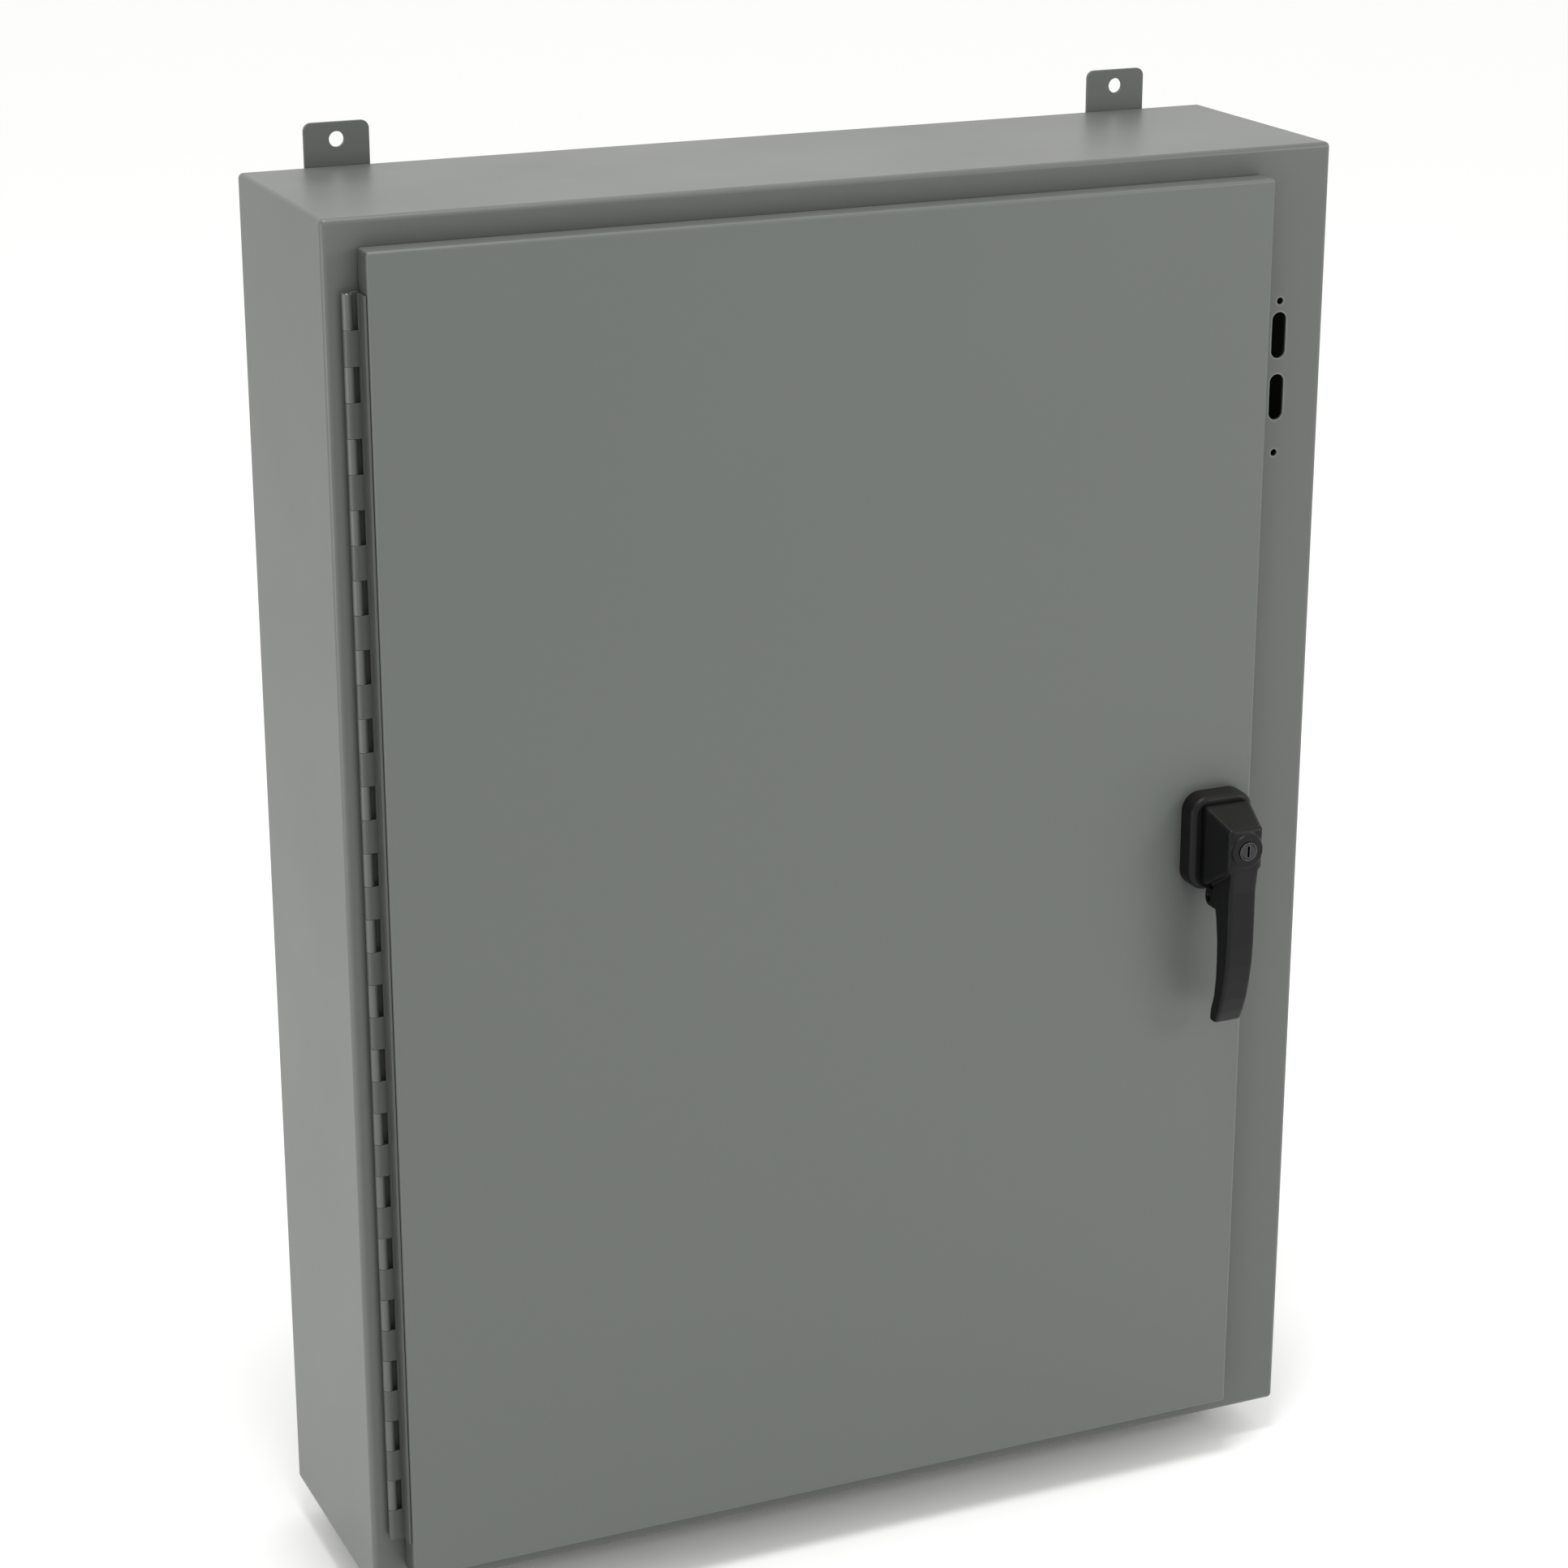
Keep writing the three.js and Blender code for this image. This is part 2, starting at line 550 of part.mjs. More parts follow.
const crankR = 30;
function transferShaft() {
  const { x } = transferCentre;
  const shaft = rod('x', 8, [x - 182, x + 170], [shaftY, tz], 16);
  const crank = block([x + 163, x + 169], [shaftY - crankR - 6, shaftY + 6], [tz - 6, tz + 6]);
  const pin = rod('x', 3, [x + 168, x + 183], [shaftY - crankR, tz], 12);
  return raise(join(shaft, crank, pin));
}

function manualLever() {
  const { x } = transferCentre;
  const [low, high] = [x - 181, x - 163];
  const clamp = rod('x', 14, [low, high], [shaftY, tz], 16);
  const stem = rod('y', 5, [shaftY - 82, shaftY - 12], [(low + high) / 2, tz], 12);
  const knob = new THREE.SphereGeometry(11, 12, 7).translate((low + high) / 2, shaftY - 86, tz);
  return raise(cut(join(clamp, stem, knob), rod('x', 8.3, [low - 1, high + 1], [shaftY, tz], 16)));
}

// A terminal: a copper bar along the pole and a lug block with a wire hole and a clamp screw.
function lugBlock(x, z, yFront, yBack) {
  const body = block([x - 17, x + 17], [yFront, yBack], [z - 19, z + 19]);
  const screw = rod('y', 7, [yFront - 6, yFront + 1], [x, z], 10);
  const wireHole = rod('z', 8.5, [z - 20, z + 20], [x, (yFront + yBack) / 2 + 1], 14);
  return cut(join(body, screw), wireHole);
}

function sourceLug(i, side) {
  const x = poleX(i);
  const [near, far] = [tz + side * contactEndZ, tz + side * 148];
  const bar = block([x - 12, x + 12], [depth(74.3), depth(70.3)], [Math.min(near, far), Math.max(near, far)]);
  return join(bar, lugBlock(x, tz + side * 127, depth(74.3), depth(36)));
}

function loadLug(i) {
  const x = poleX(i);
  const bar = block([x - 12, x + 12], [depth(24.5), depth(20.5)], [tz - 203, tz - 104]);
  return join(bar, lugBlock(x, tz - 184, depth(62), depth(23)));
}

const plungerX = transferCentre.x + 176.5;
const plungerDepth = 66.6;
const crankPin = {
  y: shaftY - crankR * Math.cos(throwAngle),
  z: tz + crankR * Math.sin(throwAngle),
};

function operatorPlunger() {
  const y = depth(plungerDepth);
  const yoke = block([plungerX - 4, plungerX + 4], [y - 11, y + 10], [crankPin.z - 10, crankPin.z + 10]);
  const stem = rod('z', 7, [crankPin.z + 9, crankPin.z + 96], [plungerX, y], 16);
  const slot = block([plungerX - 5, plungerX + 5], [y - 5.6, y + 5.4], [crankPin.z - 3.8, crankPin.z + 3.8]);
  return cut(join(yoke, stem), slot);
}

function operatorCoil() {
  const y = depth(plungerDepth);
  const winding = rod('z', 27, [tz + 56, tz + 124], [plungerX, y], 20);
  const yoke = [tz + 50, tz + 124].map((z) =>
    block([plungerX - 30, plungerX + 30], [y - 30, depth(GAP)], [z, z + 7]));
  const bore = rod('z', 7.4, [tz + 49, tz + 120], [plungerX, y], 16);
  return cut(join(winding, ...yoke), bore);
}

// ---------------------------------------------------------------- control gear
const gearX = 240;

function controlTransformer() {
  const [z, front] = [70, panelFrontY - GAP];
  const feet = block([gearX - 48, gearX + 48], [front - 3, front], [z - 30, z + 30]);
  const core = block([gearX - 38, gearX + 38], [front - 72, front - 2], [z - 24, z + 24]);
  const winding = block([gearX - 24, gearX + 24], [front - 60, front - 14], [z - 40, z + 40]);
  const post = [-1, 1].map((s) => rod('y', 4, [front - 80, front - 70], [gearX + s * 20, z], 8));
  return join(feet, core, winding, ...post);
}

function fuseBlock() {
  const [z, front] = [-40, panelFrontY - GAP];
  const pieces = [block([gearX - 48, gearX + 48], [front - 16, front], [z - 34, z + 34])];
  for (let i = -1; i <= 1; i += 1) {
    const x = gearX + i * 30;
    pieces.push(rod('z', 6.5, [z - 26, z + 26], [x, front - 25], 10));
    for (const s of [-1, 1]) {
      pieces.push(block([x - 8, x + 8], [front - 28, front - 15], [z + s * 21 - 5, z + s * 21 + 5]));
    }
  }
  return join(...pieces);
}

function terminalStrip() {
  const [z, front, ways] = [-130, panelFrontY - GAP, 10];
  const pieces = [block([gearX - 75, gearX + 75], [front - 14, front], [z - 17, z + 17])];
  for (let i = 0; i <= ways; i += 1) {
    const x = gearX - 70 + (i * 140) / ways;
    pieces.push(block([x - 1.2, x + 1.2], [front - 24, front - 13], [z - 17, z + 17]));
  }
  return join(...pieces);
}

const controller = { x: [153, 313], z: [225, 435], back: panelFrontY - GAP, front: panelFrontY - 60, wall: 3 };
const buttonZ = controller.z[0] + 42;
const buttonX = [-1, 0, 1].map((k) => (controller.x[0] + controller.x[1]) / 2 + k * 38);

function controllerHousing() {
  const { x, z, back, front, wall } = controller;
  const tub = block(x, [front, back], z);
  const room = block([x[0] + wall, x[1] - wall], [front - 1, back - wall], [z[0] + wall, z[1] - wall]);
  return cut(tub, room);
}

function controllerCover() {
  const { x, z, front } = controller;
  const coverY = [front - 3.3, front - GAP];
  const plate = block([x[0] - 2, x[1] + 2], coverY, [z[0] - 2, z[1] + 2]);
  const bezel = block([x[0] + 25, x[1] - 25], [coverY[0] - 3, coverY[0] + 1], [z[1] - 90, z[1] - 22]);
  const window = block([x[0] + 30, x[1] - 30], [coverY[0] - 4, coverY[0]], [z[1] - 85, z[1] - 27]);
  const holes = buttonX.map((bx) => rod('y', 7.4, [coverY[0] - 2, coverY[1] + 1], [bx, buttonZ], 16));
  return cut(join(plate, bezel), window, ...holes);
}

function controllerButton(bx) {
  const profile = [[0, -9.5], [5.5, -9.5], [7, -8.2], [7, 0], [0, 0]].map(([r, y]) => new THREE.Vector2(r, y));
  return new THREE.LatheGeometry(profile, 16).translate(bx, controller.front + 2.5, buttonZ);
}

// The wire bundle from the controller down to the terminal strip, tied flat to the panel.
function controlHarness() {
  const y = panelFrontY - 10;
  const route = new THREE.CatmullRomCurve3([
    [296, controller.z[0] - GAP], [296, 205], [304, 186], [309, 165], [309, 60], [309, -60], [304, -86],
    [300, -98], [300, -113 + GAP],
  ].map(([x, z]) => new THREE.Vector3(x, y, z)), false, 'centripetal');
  const section = outline(Array.from({ length: 8 }, (_, i) =>
    [5 * Math.cos((i * Math.PI) / 4), 5 * Math.sin((i * Math.PI) / 4)]));
  return new THREE.ExtrudeGeometry(section, { steps: 22, bevelEnabled: false, extrudePath: route });
}

// ---------------------------------------------------------------- assembly
add('cabinet_body', 'grey', cabinetBody());
for (const [sx, sz] of corners) {
  const name = `wall_lug_${sz > 0 ? 'upper' : 'lower'}_${sx > 0 ? 'right' : 'left'}`;
  const plate = wallLug(sx);
  add(name, 'grey', sz > 0 ? plate : plate.scale(1, 1, -1));
}
add('hinge_leaf_cabinet', 'grey', cabinetLeaf());
add('hinge_pin', 'zinc', rod('z', hinge.pinR, [-hingeLength / 2, hingeLength / 2], [hingeX, hingeY], 8));
add('hinge_leaf_door', 'grey', doorLeaf());
add('door_panel', 'grey', doorPanel());
add('door_gasket', 'rubber', doorGasket());
add('print_pocket', 'white', printPocket());
add('handle_base', 'black', handleBase());
add('handle_lever', 'black', handleLever());
add('handle_spindle', 'zinc', handleSpindle());
add('lock_cylinder', 'zinc', lockCylinder());
add('latch_gearbox', 'zinc', latchGearbox());
for (const [name, end] of [['upper', 1], ['lower', -1]]) {
  add(`latch_rod_${name}`, 'zinc', latchRod(end));
  add(`rod_roller_${name}`, 'black', rodRoller(end));
  add(`rod_guide_${name}`, 'black', rodGuide(end));
}
add('equipment_panel', 'white', equipmentPanel());
corners.forEach((corner, i) => add(`panel_stud_${i + 1}`, 'zinc', panelStud(corner)));
add('ground_bar', 'copper', wireBar(gearX, -410, 150, 7, 8));
add('neutral_bar', 'aluminium', wireBar(transferCentre.x, -290, 220, 9, 34));
add('transfer_frame', 'zinc', transferFrame());
for (let i = 0; i < 3; i += 1) {
  add(`pole_housing_${i + 1}`, 'phenolic', poleHousing(i));
  add(`contact_arm_${i + 1}`, 'copper', contactArm(i));
  add(`normal_lug_${i + 1}`, 'aluminium', sourceLug(i, 1));
  add(`emergency_lug_${i + 1}`, 'aluminium', sourceLug(i, -1));
  add(`load_lug_${i + 1}`, 'aluminium', loadLug(i));
}
add('arc_cover_normal', 'black', arcCover(1));
add('arc_cover_emergency', 'black', arcCover(-1));
add('transfer_shaft', 'zinc', transferShaft());
add('manual_lever', 'red', manualLever());
add('operator_plunger', 'zinc', operatorPlunger());
add('operator_coil', 'black', operatorCoil());
add('control_transformer', 'black', controlTransformer());
add('fuse_block', 'black', fuseBlock());
add('terminal_strip', 'black', terminalStrip());
add('controller_housing', 'white', controllerHousing());
add('controller_cover', 'black', controllerCover());
buttonX.forEach((bx, i) => add(`controller_button_${i + 1}`, 'red', controllerButton(bx)));
add('control_harness', 'black', controlHarness());

export default part;
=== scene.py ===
import json
from math import cos, radians, sin

import bmesh
import bpy
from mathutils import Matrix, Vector

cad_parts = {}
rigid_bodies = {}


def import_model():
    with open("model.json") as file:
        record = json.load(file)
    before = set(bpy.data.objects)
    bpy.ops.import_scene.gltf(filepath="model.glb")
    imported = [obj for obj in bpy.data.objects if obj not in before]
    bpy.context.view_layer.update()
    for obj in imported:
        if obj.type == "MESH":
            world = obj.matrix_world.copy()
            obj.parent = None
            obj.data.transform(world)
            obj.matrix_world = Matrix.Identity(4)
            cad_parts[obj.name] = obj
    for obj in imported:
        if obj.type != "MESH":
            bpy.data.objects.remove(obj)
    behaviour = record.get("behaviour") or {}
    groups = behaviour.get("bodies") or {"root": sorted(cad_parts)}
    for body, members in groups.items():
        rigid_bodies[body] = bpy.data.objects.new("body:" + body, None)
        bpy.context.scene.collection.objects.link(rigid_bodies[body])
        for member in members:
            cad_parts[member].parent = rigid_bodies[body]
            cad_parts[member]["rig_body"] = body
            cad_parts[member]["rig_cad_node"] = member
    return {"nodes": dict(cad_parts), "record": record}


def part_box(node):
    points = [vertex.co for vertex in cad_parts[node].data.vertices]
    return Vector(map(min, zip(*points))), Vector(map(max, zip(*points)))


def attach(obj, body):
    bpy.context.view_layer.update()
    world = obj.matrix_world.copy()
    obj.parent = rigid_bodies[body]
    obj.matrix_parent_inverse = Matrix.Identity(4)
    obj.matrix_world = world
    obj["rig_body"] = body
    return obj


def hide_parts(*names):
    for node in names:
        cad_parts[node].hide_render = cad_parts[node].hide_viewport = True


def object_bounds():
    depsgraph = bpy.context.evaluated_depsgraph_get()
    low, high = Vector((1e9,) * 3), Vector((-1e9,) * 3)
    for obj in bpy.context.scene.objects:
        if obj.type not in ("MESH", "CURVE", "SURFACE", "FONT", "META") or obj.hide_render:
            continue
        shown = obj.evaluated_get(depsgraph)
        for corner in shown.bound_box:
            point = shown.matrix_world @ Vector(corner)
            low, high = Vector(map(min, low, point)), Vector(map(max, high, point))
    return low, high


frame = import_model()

scene = bpy.context.scene
cad_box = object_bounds()
MM = 0.001

# ------------------------ Camera
# A long lens looks down at the cabinet from its hinge side, as a catalogue view does.
bpy.ops.object.camera_add(
    location=(-1.1309, -2.6604, 1.0059), rotation=(radians(70.961), 0, radians(-23.679)))
camera = bpy.context.object
camera.data.lens = 86.59
camera.data.sensor_width = 36
camera.data.clip_end = 60
scene.camera = camera


# ------------------------ Floor and light
# A pale matt studio floor just under the lower lugs, in even light, with one large soft
# lamp low on the hinge side, one overhead and a smaller one in front on the right.
def linear(*levels):
    """A colour given as 0 to 255 screen levels, as the linear values that a shader wants."""
    shares = [level / 255 for level in levels]
    return [s / 12.92 if s <= 0.04045 else ((s + 0.055) / 1.055) ** 2.4 for s in shares] + [1.0]


floor_side, floor_gap = 60, 1 * MM
bpy.ops.mesh.primitive_plane_add(size=floor_side, location=(0, 0, cad_box[0][2] - floor_gap))
floor = bpy.context.object
floor.name = "studio_floor"
floor_paint = bpy.data.materials.new("studio_floor_paint")
floor_paint.use_nodes = True
floor_shader = floor_paint.node_tree.nodes["Principled BSDF"]
floor_shader.inputs["Base Color"].default_value = linear(252, 252, 251)
floor_shader.inputs["Roughness"].default_value = 0.8
floor.data.materials.append(floor_paint)

world = bpy.data.worlds.new("studio_air")
scene.world = world
world.use_nodes = True
world.node_tree.nodes["Background"].inputs["Color"].default_value = (1, 1, 1, 1)
world.node_tree.nodes["Background"].inputs["Strength"].default_value = 1.0

cabinet_middle = Vector((0, -0.1, 0))
for name, place, size, watts in [
    ("lamp_hinge_side", (-3.0, -0.7, -0.5), 1.5, 34),
    ("lamp_overhead", (-0.4, -0.8, 2.9), 0.8, 44),
    ("lamp_right", (2.4, -2.4, 1.1), 0.9, 28),
]:
    bpy.ops.object.light_add(type="AREA", location=place)
    lamp = bpy.context.object
    lamp.name = name
    lamp.data.size = size
    lamp.data.energy = watts
    lamp.rotation_euler = (cabinet_middle - Vector(place)).to_track_quat("-Z", "Y").to_euler()
scene.view_settings.view_transform = "Standard"


# ------------------------ Cabinet
# A folded steel box, seam welded, with a flange round its front and a collar standing out
# round the doorway. Bends have a 4 mm outside radius. Grey powder coat, inside and out.
def value_node(nodes, kind, **settings):
    node = nodes.new(kind)
    for name, value in settings.items():
        setattr(node, name, value)
    return node


def effect(name, inputs, outputs):
    """A node group with these float inputs (name: default) and outputs, and its two end nodes."""
    group = bpy.data.node_groups.new(name, "ShaderNodeTree")
    for socket, default in inputs.items():
        made = group.interface.new_socket(socket, in_out="INPUT", socket_type="NodeSocketFloat")
        made.default_value = default
    for socket in outputs:
        group.interface.new_socket(socket, in_out="OUTPUT", socket_type="NodeSocketFloat")
    return group, group.nodes.new("NodeGroupInput"), group.nodes.new("NodeGroupOutput")


def math_node(group, operation, first, second, clamp=False):
    """Two values, each a socket or a number, put together in a node group."""
    node = value_node(group.nodes, "ShaderNodeMath", operation=operation, use_clamp=clamp)
    for socket, value in zip(node.inputs, (first, second)):
        if isinstance(value, (int, float)):
            socket.default_value = value
        else:
            group.links.new(value, socket)
    return node.outputs[0]


def noise(group, scale, detail):
    """Noise that stays with the piece."""
    node = value_node(group.nodes, "ShaderNodeTexNoise")
    node.inputs["Detail"].default_value = detail
    group.links.new(group.nodes.new("ShaderNodeTexCoord").outputs["Object"], node.inputs["Vector"])
    group.links.new(scale, node.inputs["Scale"])
    return node.outputs["Fac"]


def masked(group, given, result, value):
    """Ends an effect: its mask is this value times its Amount."""
    mask = math_node(group, "MULTIPLY", value, given.outputs["Amount"], clamp=True)
    group.links.new(mask, result.inputs["Mask"])
    return group


def grain_effect():
    """Fine skin texture for a bump, and a slow change of tone across the piece."""
    group, given, result = effect("surface_grain", {"Scale": 900, "Cloud Scale": 5}, ["Height", "Tone"])
    group.links.new(noise(group, given.outputs["Scale"], 2), result.inputs["Height"])
    group.links.new(noise(group, given.outputs["Cloud Scale"], 4), result.inputs["Tone"])
    return group


def wear_and_highlight_effect():
    """Where the coating is rubbed thin, and where a painted highlight lies along a bend: near outside
    edges, broken up by noise.
    """
    group, given, result = effect("edge_wear_and_highlight", {"Reach": 0.001, "Amount": 0.5, "Scale": 60}, ["Mask"])
    softened = value_node(group.nodes, "ShaderNodeBevel", samples=4)
    group.links.new(given.outputs["Reach"], softened.inputs["Radius"])
    surface = group.nodes.new("ShaderNodeNewGeometry").outputs["Normal"]
    facing = value_node(group.nodes, "ShaderNodeVectorMath", operation="DOT_PRODUCT")
    group.links.new(softened.outputs[0], facing.inputs[0])
    group.links.new(surface, facing.inputs[1])
    turned = math_node(group, "SUBTRACT", 1.0, facing.outputs["Value"])
    broken = math_node(group, "MULTIPLY", noise(group, given.outputs["Scale"], 5), 9.0)
    return masked(group, given, result, math_node(group, "MULTIPLY", turned, broken))


def dust_effect():
    """Where dust lies: on faces that look up, thicker in patches."""
    group, given, result = effect("settled_dust", {"Amount": 0.3, "Scale": 14}, ["Mask"])
    parts = group.nodes.new("ShaderNodeSeparateXYZ")
    group.links.new(group.nodes.new("ShaderNodeNewGeometry").outputs["Normal"], parts.inputs[0])
    up = math_node(group, "POWER", math_node(group, "MAXIMUM", parts.outputs["Z"], 0.0), 2.0)
    patches = noise(group, given.outputs["Scale"], 6)
    return masked(group, given, result, math_node(group, "MULTIPLY", up, patches))


def painted_shade_effect():
    """Painted shade where two surfaces come close: gaps, corners and overlaps darkened in the colour by
    ambient occlusion.
    """
    group, given, result = effect("painted_crevice_shade", {"Reach": 0.03, "Amount": 0.8}, ["Mask"])
    open_air = value_node(group.nodes, "ShaderNodeAmbientOcclusion", samples=8)
    group.links.new(given.outputs["Reach"], open_air.inputs["Distance"])
    return masked(group, given, result, math_node(group, "SUBTRACT", 1.0, open_air.outputs["AO"]))


surface_grain, edge_wear_and_highlight, settled_dust = grain_effect(), wear_and_highlight_effect(), dust_effect()
painted_crevice_shade = painted_shade_effect()
DUST = linear(172, 168, 158)


def placed(nodes, group, **values):
    node = value_node(nodes, "ShaderNodeGroup", node_tree=group)
    for name, value in values.items():
        node.inputs[name.replace("_", " ")].default_value = value
    return node


def mixed(material, factor, first, second):
    """A colour that goes from the first to the second as the factor rises."""
    tree = material.node_tree
    node = value_node(tree.nodes, "ShaderNodeMix", data_type="RGBA")
    tree.links.new(factor, node.inputs["Factor"])
    for socket, colour in ((node.inputs[6], first), (node.inputs[7], second)):
        if isinstance(colour, list):
            socket.default_value = colour
        else:
            tree.links.new(colour, socket)
    return node.outputs[2]


def finish(name, levels, rough, metal=0.0, cloudy=0.08, worn_and_lit=None, wear_and_highlight=0.0, reach=0.8,
           dust=0.2, grain=900, cloud=5, depth=0.02, coat=0.0, painted_shade=0.7, painted_shade_reach=12, shine=0.5):
    """A surface finish. Colours are screen levels, reach, painted_shade_reach and depth are millimetres.
    cloudy is how far the tone drifts, worn the colour of rubbed edges and of painted edge highlights, and
    painted_shade how dark the colour is painted where another surface comes within painted_shade_reach."""
    material = bpy.data.materials.new(name)
    material.use_nodes = True
    tree = material.node_tree
    nodes, links = tree.nodes, tree.links
    shader = nodes["Principled BSDF"]
    shader.inputs["Metallic"].default_value = metal
    shader.inputs["Coat Weight"].default_value = coat
    shader.inputs["Specular IOR Level"].default_value = shine
    skin = placed(nodes, surface_grain, Scale=grain, Cloud_Scale=cloud)
    colour = linear(*levels)
    darker = [c * (1 - cloudy) for c in colour[:3]] + [1.0]
    lighter = [min(1.0, c * (1 + cloudy)) for c in colour[:3]] + [1.0]
    shade = mixed(material, skin.outputs["Tone"], darker, lighter)
    # Edge colour: rubbed wear, which on the grey cabinet is pushed up into a painted highlight along its
    # bends.
    if wear_and_highlight:
        wear_and_highlight_node = placed(nodes, edge_wear_and_highlight, Reach=reach * MM, Amount=wear_and_highlight)
        shade = mixed(material, wear_and_highlight_node.outputs["Mask"], shade, linear(*worn_and_lit) if worn_and_lit else lighter)
    if dust:
        lying = placed(nodes, settled_dust, Amount=dust)
        shade = mixed(material, lying.outputs["Mask"], shade, DUST)
    # Painted shade: the colour darkens towards a quarter of itself where another surface comes close.
    if painted_shade:
        painted_shade_node = placed(nodes, painted_crevice_shade, Reach=painted_shade_reach * MM, Amount=painted_shade)
        shade = mixed(material, painted_shade_node.outputs["Mask"], shade, [c * 0.25 for c in colour[:3]] + [1.0])
    links.new(shade, shader.inputs["Base Color"])
    gloss = value_node(nodes, "ShaderNodeMapRange")
    gloss.inputs["To Min"].default_value = rough * 0.85
    gloss.inputs["To Max"].default_value = min(1.0, rough * 1.15)
    links.new(skin.outputs["Tone"], gloss.inputs["Value"])
    links.new(gloss.outputs["Result"], shader.inputs["Roughness"])
    relief = value_node(nodes, "ShaderNodeBump")
    relief.inputs["Strength"].default_value = 1.0
    relief.inputs["Distance"].default_value = depth * MM
    links.new(skin.outputs["Height"], relief.inputs["Height"])
    links.new(relief.outputs["Normal"], shader.inputs["Normal"])
    return material


def settled(name):
    """Names the new primitive and puts its place and size into its mesh."""
    piece = bpy.context.object
    bpy.ops.object.transform_apply(location=True, rotation=True, scale=True)
    piece.name = piece.data.name = name
    return piece


def block(name, low, high):
    bpy.ops.object.select_all(action="DESELECT")
    low, high = Vector(low), Vector(high)
    bpy.ops.mesh.primitive_cube_add(size=1, location=(low + high) / 2, scale=high - low)
    return settled(name)


def bar(name, radius, start, end, sides=32):
    """A round bar between two points."""
    bpy.ops.object.select_all(action="DESELECT")
    start, end = Vector(start), Vector(end)
    bpy.ops.mesh.primitive_cylinder_add(
        vertices=sides, radius=radius, depth=(end - start).length, location=(start + end) / 2,
        rotation=(end - start).to_track_quat("Z", "Y").to_euler())
    return settled(name)


def plug(name, radius, place, start, end, sides=32):
    """A round bar along Y at a place (x, z), from one depth to another."""
    return bar(name, radius, (place[0], start, place[1]), (place[0], end, place[1]), sides)


def chosen(*pieces):
    """Selects these pieces alone and makes the first one active."""
    bpy.ops.object.select_all(action="DESELECT")
    for piece in pieces:
        piece.select_set(True)
    bpy.context.view_layer.objects.active = pieces[0]


def open_up(piece):
    """Into edit mode on this piece alone, with nothing selected."""
    chosen(piece)
    bpy.ops.object.mode_set(mode="EDIT")
    bpy.ops.mesh.select_all(action="DESELECT")


def pick(kind, test):
    """Selects the corners, edges or faces of the open piece that pass a test."""
    bpy.ops.mesh.select_all(action="DESELECT")
    bpy.ops.mesh.select_mode(type=kind)
    data = bpy.context.object.data
    mesh = bmesh.from_edit_mesh(data)
    for element in {"VERT": mesh.verts, "EDGE": mesh.edges, "FACE": mesh.faces}[kind]:
        element.select_set(bool(test(element)))
    mesh.select_flush_mode()
    bmesh.update_edit_mesh(data)


def pick_all():
    bpy.ops.mesh.select_all(action="SELECT")


def shut():
    bpy.ops.object.mode_set(mode="OBJECT")


def middle(edge):
    return (edge.verts[0].co + edge.verts[1].co) / 2


def pull(offset):
    """Extrudes what is selected."""
    bpy.ops.mesh.extrude_region_move(TRANSFORM_OT_translate={"value": offset})


def runs(edge, axis):
    """Whether an edge lies along axis 0, 1 or 2."""
    way = edge.verts[1].co - edge.verts[0].co
    return abs(way[axis]) > 0.999 * way.length


def near(first, second, within=0.05 * MM):
    return abs(first - second) < within


def slice_at(axis, *places):
    """Cuts the whole open piece across an axis at each place, leaving both sides."""
    for place in places:
        pick_all()
        point, normal = Vector(), Vector()
        point[axis], normal[axis] = place, 1.0
        bpy.ops.mesh.bisect(plane_co=point, plane_no=normal)


def modify(piece, kind, **settings):
    """Adds a modifier to a piece and applies it."""
    chosen(piece)
    modifier = piece.modifiers.new(kind.lower(), kind)
    for name, value in settings.items():
        setattr(modifier, name, value)
    bpy.ops.object.modifier_apply(modifier=modifier.name)


def rounded(piece, width, segments, test):
    """Rounds the edges of a piece that pass a test."""
    open_up(piece)
    pick("EDGE", test)
    bpy.ops.mesh.bevel(offset=width, segments=segments)
    shut()


def cut_out(piece, *tools):
    for tool in tools:
        modify(piece, "BOOLEAN", operation="DIFFERENCE", solver="EXACT", object=tool)
        bpy.data.objects.remove(tool)
    return piece


def ease(piece, width, segments=2, angle=30):
    """Rounds every sharp edge by a little."""
    modify(piece, "BEVEL", width=width * MM, segments=segments, limit_method="ANGLE",
           angle_limit=radians(angle), use_clamp_overlap=True)
    return piece


def smooth(piece, angle=35):
    chosen(piece)
    bpy.ops.object.shade_smooth_by_angle(angle=radians(angle))
    modify(piece, "WEIGHTED_NORMAL", keep_sharp=True, weight=80)


def fitted(piece, body, slot, material, *nodes):
    """The finished piece gets its finish, its body and the CAD nodes that it stands for."""
    smooth(piece)
    piece.data.materials.clear()
    piece.data.materials.append(material)
    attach(piece, body)
    if nodes:
        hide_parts(*nodes)
    return piece


SHEET = 2 * MM
# The grey coat's strong light edge colour is a painted highlight along the bends, and its painted shade
# darkens the flange near the door.
grey_coat = finish("grey_powder_coat", (82, 85, 82), 0.38, cloudy=0.02, worn_and_lit=(122, 126, 122),
                   wear_and_highlight=0.9, reach=3, dust=0.1, grain=700, depth=0.03, painted_shade=0.55, painted_shade_reach=30)

box_low, box_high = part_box("cabinet_body")
bend, collar_corner, collar_root = 4 * MM, 5 * MM, 1.5 * MM
collar_reach = 14.5 * MM
flange_y = box_low.y + collar_reach
collar_left, collar_right = box_low.x + 40 * MM, box_high.x - 66.5 * MM
collar_top = box_high.z - 35.5 * MM

